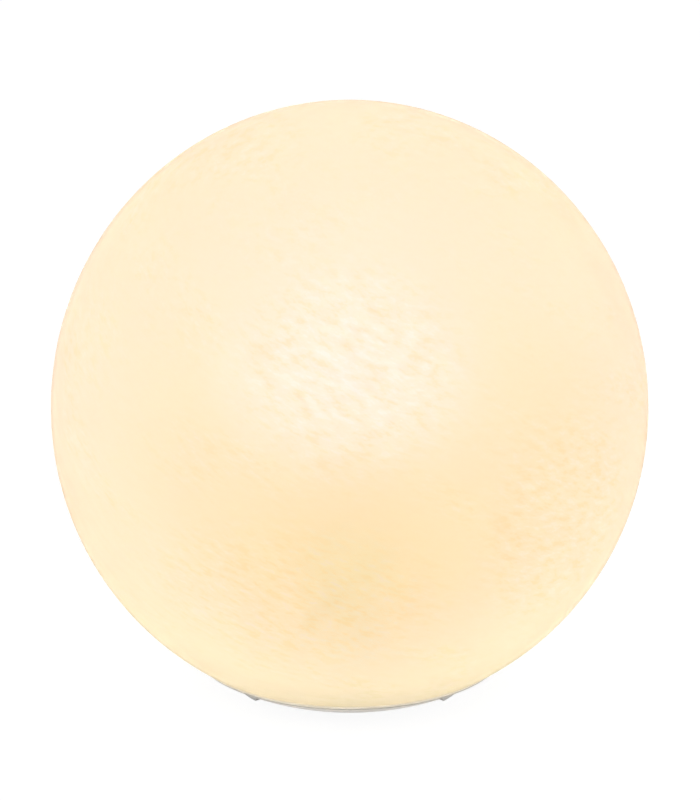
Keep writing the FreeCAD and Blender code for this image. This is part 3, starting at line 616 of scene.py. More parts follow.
class Finish(Enum):
    """Every finish of the lamp, by the name of its slot in the record."""

    # The glass's second colour is its amber body, laid under the painted shadow of the housing and holder.
    OPAL_GLASS = ("opal_glass", OpalGlass("opal_glass_finish", (0.85, 0.83, 0.80), (0.85, 0.825, 0.765)))
    GASKET = ("gasket_rubber", SoftSilicone("silicone_finish", (0.84, 0.82, 0.76), (0.76, 0.73, 0.66)))
    DISH = ("white_plastic", MouldedPlastic("dish_finish", (0.80, 0.79, 0.77), (0.74, 0.73, 0.70)))
    GLAND = (
        "white_soft_plastic",
        MouldedPlastic("gland_finish", (0.74, 0.73, 0.70), (0.66, 0.65, 0.62), 0.55, 0.25, 0.012, 0.3, 0.1),
    )
    ZINC = ("zinc_steel", Metal("zinc_finish", (0.62, 0.64, 0.66), (0.46, 0.48, 0.50), 0.34, Worked.PLATED))
    PLATE = ("white_enamel", Enamel("enamel_finish", (0.80, 0.80, 0.78), (0.74, 0.74, 0.71)))
    SPRING_STEEL = (
        "spring_steel",
        Metal("spring_steel_finish", (0.52, 0.54, 0.57), (0.36, 0.36, 0.38), 0.28, Worked.ROLLED),
    )
    HOLDER = (
        "holder_plastic",
        MouldedPlastic("holder_finish", (0.045, 0.044, 0.043), (0.075, 0.072, 0.068), 0.36, 0.3, 0.008, 0.3),
    )
    PORCELAIN = ("porcelain", Glaze("porcelain_finish", (0.80, 0.78, 0.73), (0.72, 0.69, 0.62)))
    BRASS = ("brass", Metal("brass_finish", (0.80, 0.62, 0.28), (0.52, 0.36, 0.15), 0.26, Worked.TURNED))
    SOLDER = ("solder", Metal("solder_finish", (0.66, 0.66, 0.65), (0.42, 0.41, 0.40), 0.30, Worked.PLATED))
    INSULATOR = (
        "black_insulator",
        MouldedPlastic("insulator_finish", (0.012, 0.012, 0.014), (0.025, 0.024, 0.024), 0.2, 0.5, 0.01, 0.2),
    )
    NICKEL = ("nickel", Metal("nickel_finish", (0.72, 0.69, 0.63), (0.50, 0.47, 0.42), 0.24, Worked.TURNED))
    BULB_PLASTIC = (
        "bulb_plastic",
        MouldedPlastic("bulb_finish", (0.80, 0.80, 0.79), (0.75, 0.75, 0.74), 0.3, 0.4, 0.006, 0.3),
    )
    ALUMINIUM = (
        "aluminium",
        Metal("aluminium_finish", (0.78, 0.79, 0.80), (0.62, 0.63, 0.64), 0.4, Worked.TURNED),
    )
    BOARD = ("circuit_board", CircuitBoard("board_finish", (0.74, 0.75, 0.74), (0.55, 0.56, 0.55)))
    CHIP = ("led_yellow", Phosphor("chip_finish", (0.86, 0.62, 0.12), (0.74, 0.48, 0.06)))
    DIFFUSER = ("diffuser", LitDiffuser("diffuser_finish", (0.88, 0.88, 0.86), (0.82, 0.82, 0.80)))

    @property
    def slot(self) -> str:
        """The record's slot."""
        return self.value[0]


def mesh_data(mesh: Mesh, name: str) -> bpy.types.Mesh:
    """Turns a working mesh into an object's data.

    Args:
        mesh: the mesh, which is used up.
        name: the data's name.

    Returns:
        The data.
    """
    data = bpy.data.meshes.new(name)
    mesh.to_mesh(data)
    mesh.free()
    return data


def add_object(name: str, data: bpy.types.ID) -> bpy.types.Object:
    """Puts a new object into the scene.

    Args:
        name: the object's name.
        data: its mesh, light or camera.

    Returns:
        The object.
    """
    item = bpy.data.objects.new(name, data)
    bpy.context.scene.collection.objects.link(item)
    return item


class Workshop:
    """Makes pieces and dresses them. It builds each finish once, on its first use."""

    def __init__(self) -> None:
        """Starts with no finish built."""
        self._built: dict[Finish, bpy.types.Material] = {}

    def material(self, finish: Finish) -> bpy.types.Material:
        """The material of a finish.

        Args:
            finish: the finish.

        Returns:
            Its material, built on its first use.
        """
        if finish not in self._built:
            self._built[finish] = finish.value[1].material()
        return self._built[finish]

    def dress(self, finish: Finish, *nodes: str) -> None:
        """Gives carried-over nodes their finish.

        Args:
            finish: the finish that they get.
            nodes: their names in the frame.
        """
        for node in nodes:
            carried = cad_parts[node]
            carried.data.materials.clear()
            carried.data.materials.append(self.material(finish))
            log.info("dressed %s in %s", node, finish.slot)

    def make(
        self, mesh: Mesh, name: str, body: Body, node: str, finish: Finish, smooth_angle: float = 0.6
    ) -> bpy.types.Object:
        """Turns a mesh in millimetres into a dressed piece on its body.

        Args:
            mesh: the mesh, which is used up.
            name: the piece's name.
            body: the body that it rides on.
            node: the carried-over node that it stands for.
            finish: its finish.
            smooth_angle: the angle above which an edge stays sharp, in radians.

        Returns:
            The piece.
        """
        bmesh.ops.scale(mesh, vec=(MM, MM, MM), verts=mesh.verts[:])
        for face in mesh.faces:
            face.smooth = True
        data = mesh_data(mesh, name)
        data.set_sharp_from_angle(angle=smooth_angle)
        data.materials.append(self.material(finish))
        piece = add_object(name, data)
        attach(piece, body.value)
        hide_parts(node)
        log.info("made %s: %d faces on %s", name, len(data.polygons), body.value)
        return piece


def whole(mesh: Mesh) -> list:
    """All vertices, edges and faces of a mesh."""
    return mesh.verts[:] + mesh.edges[:] + mesh.faces[:]


def rims(mesh: Mesh, height: float) -> Edges:
    """The open and bare edges at a height."""
    return [edge for edge in level_edges(mesh, height) if len(edge.link_faces) < 2]


def level_edges(mesh: Mesh, height: float) -> Edges:
    """The edges that lie at a height."""
    return [edge for edge in mesh.edges if all(abs(vert.co.z - height) < WELD_MM for vert in edge.verts)]


def weld(mesh: Mesh) -> None:
    """Joins the vertices that lie on each other."""
    bmesh.ops.remove_doubles(mesh, verts=mesh.verts[:], dist=WELD_MM)


def face_outwards(mesh: Mesh) -> Mesh:
    """Turns all faces of a closed mesh outwards, and returns it."""
    bmesh.ops.recalc_face_normals(mesh, faces=mesh.faces[:])
    return mesh


def step(mesh: Mesh, last: bmesh.types.BMVert, place: Triple) -> bmesh.types.BMVert:
    """Draws an edge.

    Args:
        mesh: the mesh that it is added to.
        last: the vertex that it starts from.
        place: where it ends.

    Returns:
        The vertex at its end.
    """
    shift = Vector(place) - last.co
    far = bmesh.ops.extrude_vert_indiv(mesh, verts=[last])["verts"][0]
    bmesh.ops.translate(mesh, verts=[far], vec=shift)
    return far


def spin(mesh: Mesh, turns: float, steps: int, rise: float = 0.0, merge: bool = False) -> None:
    """Sweeps all that a mesh holds about the lamp's axis.

    Args:
        mesh: the mesh to sweep.
        turns: how many turns it makes.
        steps: how many steps they are made of.
        rise: how far it climbs in all, in millimetres.
        merge: whether a full turn closes on itself.
    """
    bmesh.ops.spin(
        mesh, geom=whole(mesh), cent=(0.0, 0.0, 0.0), axis=(0.0, 0.0, 1.0), angle=FULL_TURN * turns,
        steps=steps, dvec=(0.0, 0.0, rise / steps), use_merge=merge, use_duplicate=False
    )


def cut_off(mesh: Mesh, height: float, side: float, snap: float = 1e-5) -> None:
    """Cuts off what lies beyond a height.

    Args:
        mesh: the mesh to cut.
        height: where the cut runs.
        side: 1 to cut off what is above it, -1 for what is below it.
        snap: how near to the cut a vertex counts as on it.
    """
    bmesh.ops.bisect_plane(
        mesh, geom=whole(mesh), dist=snap, plane_co=(0.0, 0.0, height), plane_no=(0.0, 0.0, side),
        clear_outer=True
    )


def rounded(
    mesh: Mesh, width: float, segments: int = 2, sharp: float = 0.5, edges: Edges | None = None
) -> Mesh:
    """Rounds the edges that are sharper than an angle, or some chosen ones.

    Args:
        mesh: the mesh to round.
        width: how far each edge is cut back, in millimetres. Sharp edges give way where two of them meet.
        segments: how many faces cross a rounded edge.
        sharp: the angle between faces above which an edge counts, in radians.
        edges: the chosen edges.

    Returns:
        The same mesh.
    """
    keen = [edge for edge in mesh.edges if edge.is_manifold and edge.calc_face_angle() > sharp]
    bmesh.ops.bevel(
        mesh, geom=keen if edges is None else edges, offset=width, offset_type="OFFSET", segments=segments,
        profile=0.5, affect="EDGES", material=-1, clamp_overlap=edges is None
    )
    return mesh


@dataclass(frozen=True)
class Bend:
    """An arc of a profile: the point that it passes through, where it ends, and its number of edges."""

    through: Point
    end: Point
    steps: int = 12


class Profile:
    """A section drawn in the XZ plane in millimetres, then turned about the lamp's axis."""

    def __init__(self, start: Point) -> None:
        """Puts down the first point.

        Args:
            start: its radius and height.
        """
        self.mesh = bmesh.new()
        self.first = start
        self.last = self.mesh.verts.new((start[0], 0.0, start[1]))
        self.here = start

    def line(self, end: Point) -> None:
        """Draws a straight edge to a point."""
        self.last = step(self.mesh, self.last, (end[0], 0.0, end[1]))
        self.here = end

    def arc(self, bend: Bend) -> None:
        """Sweeps the last point along an arc.

        Args:
            bend: the arc's middle, end and number of edges.
        """
        centre, angle = self._circle(self.here, bend.through, bend.end)
        made = bmesh.ops.spin(
            self.mesh, geom=[self.last], cent=(centre[0], 0.0, centre[1]), axis=(0.0, 1.0, 0.0), angle=-angle,
            steps=bend.steps, use_duplicate=False
        )
        self.last = next(item for item in made["geom_last"] if isinstance(item, bmesh.types.BMVert))
        self.here = bend.end

    @staticmethod
    def _circle(start: Point, through: Point, end: Point) -> tuple[Point, float]:
        """The circle through three points.

        Args:
            start: where the arc starts.
            through: a point on the way.
            end: where it ends.

        Returns:
            Its centre and the signed angle from start to end.
        """
        (ax, ay), (bx, by), (cx, cy) = start, through, end
        scale = 2 * (ax * (by - cy) + bx * (cy - ay) + cx * (ay - by))
        a, b, c = ax * ax + ay * ay, bx * bx + by * by, cx * cx + cy * cy
        x = (a * (by - cy) + b * (cy - ay) + c * (ay - by)) / scale
        y = (a * (cx - bx) + b * (ax - cx) + c * (bx - ax)) / scale
        first = math.atan2(ay - y, ax - x)
        middle = (math.atan2(by - y, bx - x) - first) % FULL_TURN
        sweep = (math.atan2(cy - y, cx - x) - first) % FULL_TURN
        return (x, y), sweep if middle < sweep else sweep - FULL_TURN

    def turn(self, steps: int) -> Mesh:
        """Closes the profile and turns it into a solid.

        Args:
            steps: how many faces go round.

        Returns:
            The turned mesh, in millimetres.
        """
        self.line(self.first)
        weld(self.mesh)
        spin(self.mesh, 1, steps, merge=True)
        weld(self.mesh)
        loose = [edge for edge in self.mesh.edges if not edge.link_faces]
        bmesh.ops.delete(self.mesh, geom=loose, context="EDGES")
        return face_outwards(self.mesh)


def turned(start: Point, *path: Point | Bend, steps: int = 96) -> Mesh:
    """A closed profile turned about the lamp's axis.

    Args:
        start: the profile's first point.
        path: its further points and bends.
        steps: how many faces go round.

    Returns:
        The turned mesh, in millimetres.
    """
    profile = Profile(start)
    for item in path:
        if isinstance(item, Bend):
            profile.arc(item)
        else:
            profile.line(item)
    return profile.turn(steps)


def flat_ring(inner: float, outer: float, bottom: float, top: float, steps: int = 96) -> Mesh:
    """A flat ring between two radii and two heights."""
    return turned((inner, bottom), (outer, bottom), (outer, top), (inner, top), steps=steps)


@dataclass(frozen=True)
class Thread:
    """A round thread rolled into thin sheet: its pitch and depth in millimetres, and its faces.

    Threads that are in step count their helix from height zero, so they fit into each other.
    """

    pitch: float
    waves: int
    steps: int
    in_step: bool
    depth: float = 0.55

    def rolled(self, crest: float, bottom: float, top: float) -> Mesh:
        """A sheet with this thread, open at both ends.

        Args:
            crest: the largest radius.
            bottom: the height of the lower cut.
            top: the height of the upper cut.

        Returns:
            The sheet, in millimetres.
        """
        phase = -(bottom % self.pitch) if self.in_step else 0.0
        start = bottom - 2 * self.pitch + phase
        mesh = bmesh.new()
        last = mesh.verts.new((crest, 0.0, start))
        for index in range(1, self.waves + 1):
            radius = crest - self.depth / 2 + self.depth / 2 * math.cos(FULL_TURN * index / self.waves)
            last = step(mesh, last, (radius, 0.0, start + self.pitch * index / self.waves))
        spin(mesh, 1, self.steps, self.pitch)
        one_turn = whole(mesh)
        for index in range(1, math.ceil((top - bottom) / self.pitch) + 3):
            made = bmesh.ops.duplicate(mesh, geom=one_turn)
            copied = [item for item in made["geom"] if isinstance(item, bmesh.types.BMVert)]
            bmesh.ops.translate(mesh, verts=copied, vec=(0.0, 0.0, self.pitch * index))
        weld(mesh)
        cut_off(mesh, bottom, -1.0)
        cut_off(mesh, top, 1.0)
        return face_outwards(mesh)


CAP_THREAD = Thread(3.62, 8, 64, True)


def join_meshes(mesh: Mesh, other: Mesh) -> Mesh:
    """Adds one mesh to another.

    Args:
        mesh: the mesh that grows.
        other: the mesh that is added and used up.

    Returns:
        The grown mesh.
    """
    data = mesh_data(other, "joining")
    mesh.from_mesh(data)
    bpy.data.meshes.remove(data)
    return mesh


@dataclass
class GlassGlobe:
    """The blown globe and the soft ring that it stands on. Sizes are in millimetres."""

    radius: float = 125.0
    rise: float = 129.0
    drop: float = 127.4
    wall: float = 3.0
    centre: float = 120.098
    mouth_height: float = 13.2
    mouth_round: float = 0.7
    mouth_angle: float = 0.3
    smooth_angle: float = 1.2
    faces_round: int = 160
    faces_up: int = 112
    gasket_inner: float = 62.55
    gasket_outer: float = 67.3
    gasket_bottom: float = 11.95
    gasket_top: float = 13.05
    gasket_round: float = 0.35
    gasket_steps: int = 144

    def build(self, shop: Workshop) -> None:
        """Makes the globe and its gasket.

        Args:
            shop: the workshop that makes and dresses the pieces.
        """
        glass = self._glass()
        shop.make(glass, "glass_globe_blown", Body.GLOBE, "glass_globe", Finish.OPAL_GLASS, self.smooth_angle)
        ring = flat_ring(
            self.gasket_inner, self.gasket_outer, self.gasket_bottom, self.gasket_top, self.gasket_steps
        )
        rounded(ring, self.gasket_round, 3)
        shop.make(ring, "gasket_ring", Body.SEAT, "rim_gasket", Finish.GASKET)

    def _glass(self) -> Mesh:
        """The shell: an outer and an inner blown skin, cut at the mouth and ground round.

        Returns:
            The mesh, in millimetres.
        """
        mesh = bmesh.new()
        for inset in (0.0, self.wall):
            self._skin(mesh, inset)
        bmesh.ops.translate(mesh, verts=mesh.verts[:], vec=(0.0, 0.0, self.centre))
        cut_off(mesh, self.mouth_height, -1.0, 1e-4)
        bmesh.ops.bridge_loops(mesh, edges=rims(mesh, self.mouth_height))
        face_outwards(mesh)
        level = level_edges(mesh, self.mouth_height)
        mouth = [edge for edge in level if edge.calc_face_angle(0.0) > self.mouth_angle]
        return rounded(mesh, self.mouth_round, 3, edges=mouth)

    def _skin(self, mesh: Mesh, inset: float) -> None:
        """Adds one whole skin about the globe's centre, drawn a little taller than it is wide.

        Args:
            mesh: the mesh that it is added to.
            inset: how far inside the outer skin it lies.
        """
        radius = self.radius - inset
        made = bmesh.ops.create_uvsphere(
            mesh, u_segments=self.faces_round, v_segments=self.faces_up, radius=radius
        )
        for side, reach in ((1.0, self.rise), (-1.0, self.drop)):
            half = [vert for vert in made["verts"] if vert.co.z * side > 0]
            bmesh.ops.scale(mesh, vec=(1.0, 1.0, (reach - inset) / radius), verts=half)


@dataclass
class LampBase:
    """The moulded dish with what is fixed to it, and the stem. Sizes are in millimetres."""

    stem_bore: float = 5.3
    stem_radius: float = 8.0
    stem_foot: float = 12.0
    stem_foot_rise: float = 1.6
    stem_bottom: float = 18.0
    stem_top: float = 38.0
    stem_round: float = 0.3
    nipple_radius: float = 5.0
    nipple_bore: float = 3.8
    nipple_bottom: float = 10.2
    nipple_top: float = 46.0
    nipple_thread: Thread = Thread(1.0, 4, 32, False)
    washer_radius: float = 9.0
    washer_bottom: float = 15.0
    washer_top: float = 15.8
    washer_round: float = 0.2
    gland_bore: float = 2.6
    gland_body: float = 3.3
    gland_flange: float = 4.1
    gland_inner: float = 43.8
    gland_face: float = 57.0
    gland_outer: float = 58.5
    gland_height: float = 5.6
    gland_round: float = 0.22

    def build(self, shop: Workshop) -> None:
        """Dresses the carried-over pieces and makes the turned ones.

        Args:
            shop: the workshop that makes and dresses the pieces.
        """
        shop.dress(Finish.DISH, "base_dish", "bottom_plate", "cord_clamp")
        shop.dress(Finish.ZINC, "bottom_plate_screws", "cord_clamp_screws", "nipple_locknut")
        shop.dress(Finish.SPRING_STEEL, "globe_clip_1", "globe_clip_2", "globe_clip_3")
        shop.make(self._stem(), "stem_turned", Body.BASE, "stem_sleeve", Finish.PLATE)
        shop.make(self._nipple(), "nipple_threaded", Body.BASE, "nipple_tube", Finish.ZINC)
        shop.make(self._washer(), "washer_pressed", Body.BASE, "nipple_washer", Finish.ZINC)
        shop.make(self._gland(), "inlet_bush", Body.BASE, "cord_gland", Finish.GLAND)

    def _stem(self) -> Mesh:
        """The sleeve round the nipple, with its flared foot.

        Returns:
            The mesh, in millimetres.
        """
        flare = self.stem_foot - self.stem_radius
        share = 1 - math.cos(math.pi / 4)
        shoulder = self.stem_bottom + self.stem_foot_rise
        through = (self.stem_radius + flare * share, shoulder + flare * share)
        mesh = turned(
            (self.stem_bore, self.stem_bottom), (self.stem_foot, self.stem_bottom),
            (self.stem_foot, shoulder), Bend(through, (self.stem_radius, shoulder + flare)),
            (self.stem_radius, self.stem_top), (self.stem_bore, self.stem_top)
        )
        return rounded(mesh, self.stem_round)

    def _nipple(self) -> Mesh:
        """The threaded tube, its ends cut square.

        Returns:
            The mesh, in millimetres.
        """
        mesh = self.nipple_thread.rolled(self.nipple_radius, self.nipple_bottom, self.nipple_top)
        for height in (self.nipple_bottom, self.nipple_top):
            bmesh.ops.create_circle(
                mesh, cap_ends=False, radius=self.nipple_bore, segments=self.nipple_thread.steps,
                matrix=Matrix.Translation((0.0, 0.0, height))
            )
            bmesh.ops.triangle_fill(mesh, use_beauty=True, edges=rims(mesh, height))
        bmesh.ops.bridge_loops(mesh, edges=[edge for edge in mesh.edges if edge.is_boundary])
        return face_outwards(mesh)

    def _washer(self) -> Mesh:
        """The pressed washer, rolled over at its edge."""
        ring = flat_ring(self.nipple_radius, self.washer_radius, self.washer_bottom, self.washer_top)
        return rounded(ring, self.washer_round)

    def _gland(self) -> Mesh:
        """The inlet bush, turned upright and then laid along the back.

        Returns:
            The mesh, in millimetres.
        """
        mesh = turned(
            (self.gland_bore, self.gland_inner), (self.gland_body, self.gland_inner),
            (self.gland_body, self.gland_face), (self.gland_flange, self.gland_face),
            (self.gland_flange, self.gland_outer), (self.gland_bore, self.gland_outer), steps=64
        )
        rounded(mesh, self.gland_round, 3)
        lay = Matrix.Translation((0.0, 0.0, self.gland_height)) @ Matrix.Rotation(-math.pi / 2, 4, "X")
        bmesh.ops.transform(mesh, matrix=lay, verts=mesh.verts[:])
        return mesh


@dataclass
class Lampholder:
    """The shells, core and contacts of the screw lampholder. Sizes are in millimetres."""

    radius: float = 19.5
    wall: float = 1.6
    flare: float = 0.7
    skirt_bottom: float = 58.0
    skirt_top: float = 85.56
    mouth_radius: float = 14.5
    lip_roll: float = 1.0
    lip_middle: Point = (0.4, 0.25)
    skirt_round: float = 0.12
    skirt_angle: float = 0.4
    grooves: int = 4
    groove_bottom: float = 2.2
    groove_step: float = 1.6
    groove_edge: float = 0.3
    groove_depth: float = 0.32
    groove_lip: float = 0.02
    shell_inner: float = 13.35
    shell_wall: float = 0.4
    shell_flange: float = 4.5
    shell_bottom: float = 59.0
    shell_top: float = 84.36
    plunger_bottom: float = 50.1
    plunger_collar: float = 2.6
    plunger_collar_top: float = 51.1
    plunger_stem: float = 1.5
    plunger_radius: float = 4.5
    plunger_head: float = 58.9
    plunger_top: float = 59.7
    plunger_rim: float = 0.3
    plunger_crown: Point = (2.6, 0.08)
    plunger_round: float = 0.12
    plunger_travel: float = 1.2
    spring_foot: float = 55.5
    spring_radius: float = 2.9
    spring_wire: float = 0.25
    spring_turns: int = 4
    spring_sides: int = 12
    spring_steps: int = 32

    def build(self, shop: Workshop) -> None:
        """Dresses the carried-over pieces and makes the shells and the sprung contact.

        Args:
            shop: the workshop that makes and dresses the pieces.
        """
        shop.dress(Finish.HOLDER, "holder_cap")
        shop.dress(Finish.ZINC, "holder_locking_screw", "terminal_screws")
        shop.dress(Finish.PORCELAIN, "holder_core")
        shop.dress(Finish.BRASS, "side_contact", "live_strap", "terminal_live", "terminal_neutral")
        shop.make(self._skirt(), "holder_skirt_shell", Body.BASE, "holder_skirt", Finish.HOLDER)
        shop.make(self._plunger(), "contact_plunger", Body.CONTACT, "centre_contact", Finish.BRASS)
        shop.make(self._shell(), "threaded_shell", Body.BASE, "screw_shell", Finish.BRASS)
        wound = shop.make(self._spring(), "spring_wound", Body.BASE, "contact_spring", Finish.SPRING_STEEL)
        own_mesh(wound)

    def _skirt(self) -> Mesh:
        """The upper shell, with grip grooves round its foot and a turned-in mouth.

        Returns:
            The mesh, in millimetres.
        """
        top_radius = self.radius + self.flare
        grooves: list[Point] = []
        for index in range(self.grooves):
            low = self.skirt_bottom + self.groove_bottom + index * self.groove_step
            grooves += [
                (self.radius + self.groove_lip, low),
                (self.radius - self.groove_depth, low + self.groove_edge),
                (self.radius - self.groove_depth, low + 2 * self.groove_edge),
                (self.radius + self.groove_lip, low + 3 * self.groove_edge),
            ]
        mesh = turned(
            (self.radius, self.skirt_bottom), *grooves, (top_radius, self.skirt_top - self.lip_roll),
            (top_radius - self.lip_middle[0], self.skirt_top - self.lip_middle[1]),
            (top_radius - self.lip_roll, self.skirt_top),
            (self.mouth_radius, self.skirt_top), (self.mouth_radius, self.skirt_top - self.wall),
            (top_radius - self.wall, self.skirt_top - self.wall), (self.radius - self.wall, self.skirt_bottom)
        )
        return rounded(mesh, self.skirt_round, 2, self.skirt_angle)

    def _plunger(self) -> Mesh:
        """The sprung contact, its head crowned where the bulb's tip presses.

        Returns:
            The mesh, in millimetres.
        """
        mesh = turned(
            (0.0, self.plunger_bottom), (self.plunger_collar, self.plunger_bottom),
            (self.plunger_collar, self.plunger_collar_top), (self.plunger_stem, self.plunger_collar_top),
            (self.plunger_stem, self.plunger_head), (self.plunger_radius, self.plunger_head),
            (self.plunger_radius, self.plunger_top - self.plunger_rim),
            Bend((self.plunger_crown[0], self.plunger_top - self.plunger_crown[1]), (0.0, self.plunger_top)),
            steps=48
        )
        return rounded(mesh, self.plunger_round)

    def _spring(self) -> Mesh:
        """The coil spring that carries the plunger, its wire wound round the plunger's stem.

        Returns:
            The mesh, in millimetres.
        """
        mesh = bmesh.new()
        start = Matrix.Translation((self.spring_radius, 0.0, self.spring_foot + self.spring_wire))
        bmesh.ops.create_circle(
            mesh, cap_ends=True, radius=self.spring_wire, segments=self.spring_sides,
            matrix=start @ Matrix.Rotation(math.pi / 2, 4, "X")
        )
        rise = self.plunger_head - self.spring_foot - 2 * self.spring_wire
        spin(mesh, self.spring_turns, self.spring_steps * self.spring_turns, rise)
        return face_outwards(mesh)

    def _shell(self) -> Mesh:
        """The rolled sleeve with its flat flange on the core.

        Returns:
            The mesh, in millimetres.
        """
        flange_top = self.shell_bottom + self.shell_wall
        outer = self.shell_inner + self.shell_wall
        mesh = CAP_THREAD.rolled(self.shell_inner, flange_top, self.shell_top)
        bmesh.ops.reverse_faces(mesh, faces=mesh.faces[:])
        bmesh.ops.solidify(mesh, geom=mesh.faces[:], thickness=self.shell_wall)
        flange = flat_ring(outer - self.shell_flange, outer, self.shell_bottom, flange_top, 64)
        return join_meshes(mesh, flange)


@dataclass
class Bulb:
    """The lamp bulb with its screw cap. Sizes are in millimetres."""

    cap_radius: float = 13.05
    cap_wall: float = 0.4
    cap_bottom: float = 64.16
    cap_top: float = 86.16
    cap_flare: float = 0.85
    cap_flare_height: float = 1.2
    collar_lap: float = 0.3
    collar_gap: float = 0.1
    collar_outer: Point = (0.12, 0.7)
    collar_inner: Point = (0.4, 0.8)
    tip_bottom: float = 60.0
    tip_radius: float = 4.8
    tip_height: float = 1.1
    tip_crown: Point = (2.8, 0.06)
    tip_shoulder: Point = (4.2, 0.3)
    tip_corner: Point = (4.68, 0.5)
    tip_edge: float = 0.8
    tip_round: float = 0.08
    tip_angle: float = 0.9
    pin_radius: float = 2.0
    pin_length: float = 1.8
    insulator_bottom: float = 61.16
    insulator_bore: float = 2.06
    insulator_rise: float = 2.0
    insulator_round: float = 0.2
    neck_step: float = 0.6
    neck_gap: float = 0.05
    plug_gap: float = 0.6
    plug_depth: float = 5.0
    waist_share: float = 0.42
    parting_height: float = 123.0
    parting_radius: float = 25.981
    parting_round: float = 0.25
    parting_angle: float = 0.7
    ball_radius: float = 30.0
    ball_centre: float = 138.0
    wall: float = 1.6

    def build(self, shop: Workshop) -> None:
        """Dresses the bulb's inner pieces and makes its visible ones.

        Args:
            shop: the workshop that makes and dresses the pieces.
        """
        shop.dress(Finish.ALUMINIUM, "bulb_heatsink")
        shop.dress(Finish.BOARD, "bulb_driver_board", "bulb_led_board")
        shop.dress(Finish.CHIP, "bulb_leds")
        shop.make(self._tip(), "tip_soldered", Body.BULB_TIP, "bulb_contact", Finish.SOLDER)
        shop.make(self._insulator(), "cap_glass_ring", Body.BULB, "bulb_cap_insulator", Finish.INSULATOR)
        shop.make(self._cap(), "bulb_cap_rolled", Body.BULB, "bulb_cap", Finish.NICKEL)
        shop.make(self._housing(), "bulb_body", Body.BULB, "bulb_housing", Finish.BULB_PLASTIC)
        shop.make(self._dome(), "bulb_diffuser", Body.BULB, "bulb_dome", Finish.DIFFUSER)

    def _tip(self) -> Mesh:
        """The soldered tip: a low crowned button on a short pin.

        Returns:
            The mesh, in millimetres.
        """
        top = self.tip_bottom + self.tip_height
        curve = (self.tip_crown, self.tip_shoulder, self.tip_corner, (self.tip_radius, self.tip_edge))
        crown, shoulder, corner, edge = ((radius, self.tip_bottom + rise) for radius, rise in curve)
        mesh = turned(
            (0.0, self.tip_bottom), Bend(crown, shoulder), Bend(corner, edge), (self.tip_radius, top),
            (self.pin_radius, top), (self.pin_radius, top + self.pin_length), (0.0, top + self.pin_length),
            steps=48
        )
        return rounded(mesh, self.tip_round, 2, self.tip_angle)

    def _insulator(self) -> Mesh:
        """The black ring between the tip and the cap.

        Returns:
            The mesh, in millimetres.
        """
        outer = self.cap_radius - self.cap_wall - CAP_THREAD.depth
        mesh = turned(
            (self.insulator_bore, self.insulator_bottom), (self.tip_radius, self.insulator_bottom),
            (outer - self.cap_wall, self.cap_bottom),
            (outer - self.cap_wall, self.cap_bottom + self.insulator_rise),
            (self.insulator_bore, self.cap_bottom + self.insulator_rise), steps=64
        )
        return rounded(mesh, self.insulator_round)

    def _cap(self) -> Mesh:
        """The rolled screw cap with its flared upper edge.

        Returns:
            The mesh, in millimetres.
        """
        flare_bottom = self.cap_top - self.cap_flare_height
        mesh = CAP_THREAD.rolled(self.cap_radius, self.cap_bottom, flare_bottom)
        bmesh.ops.solidify(mesh, geom=mesh.faces[:], thickness=self.cap_wall)
        inner = self.cap_radius - CAP_THREAD.depth - self.cap_wall
        flare = self.cap_radius + self.cap_flare
        low = flare_bottom - self.collar_lap
        outer_middle = (self.cap_radius + self.collar_outer[0], self.cap_top - self.collar_outer[1])
        inner_middle = (self.cap_radius - self.collar_inner[0], self.cap_top - self.collar_inner[1])
        collar = turned(
            (inner, low), (self.cap_radius - self.collar_gap, low), Bend(outer_middle, (flare, self.cap_top)),
            (flare - self.cap_wall, self.cap_top), Bend(inner_middle, (inner, flare_bottom)), steps=64
        )
        return join_meshes(mesh, collar)

    def _housing(self) -> Mesh:
        """The white body: a plug in the cap, a slow curve outwards and a rounded rim.

        Returns:
            The mesh, in millimetres.
        """
        flare = self.cap_radius + self.cap_flare
        neck = flare + self.neck_step
        plug = self.cap_radius - self.cap_wall - self.plug_gap
        middle = (self.cap_top + self.parting_height) / 2
        waist = neck + (self.parting_radius - neck) * self.waist_share
        inner_waist = neck - self.wall + (self.parting_radius - neck) * self.waist_share
        mesh = turned(
            (plug - self.wall, self.cap_top - self.plug_depth), (plug, self.cap_top - self.plug_depth),
            (plug, self.cap_top - self.plug_gap),
            (flare - self.cap_wall - self.neck_gap, self.cap_top), (neck, self.cap_top),
            Bend((waist, middle), (self.parting_radius, self.parting_height)),
            (self.parting_radius - self.wall, self.parting_height),
            Bend((inner_waist, middle), (plug - self.wall, self.cap_top)), steps=128
        )
        return rounded(mesh, self.parting_round, 3, self.parting_angle)

    def _dome(self) -> Mesh:
        """The frosted ball, cut off at the parting line.

        Returns:
            The mesh, in millimetres.
        """
        inner = self.ball_radius - self.wall
        low = self.parting_height - self.ball_centre
        inner_parting = math.sqrt(inner**2 - low**2)
        half_outer = (math.atan2(low, self.parting_radius) + math.pi / 2) / 2
        half_inner = (math.atan2(low, inner_parting) + math.pi / 2) / 2
        top = (0.0, self.ball_centre + self.ball_radius)
        mesh = turned(
            (self.parting_radius, self.parting_height),
            Bend(self._on_ball(self.ball_radius, half_outer), top, 48), (0.0, self.ball_centre + inner),
            Bend(self._on_ball(inner, half_inner), (inner_parting, self.parting_height), 32), steps=128
        )
        return rounded(mesh, self.parting_round, 3, self.parting_angle)

    def _on_ball(self, radius: float, angle: float) -> Point:
        """A point of the ball's section at an angle above its middle."""
        return (radius * math.cos(angle), self.ball_centre + radius * math.sin(angle))


@dataclass(frozen=True)
class SoftBox:
    """A large square light: its name, its place and side in metres, and its power in watts."""

    name: str
    place: Triple
    side: float
    power: float


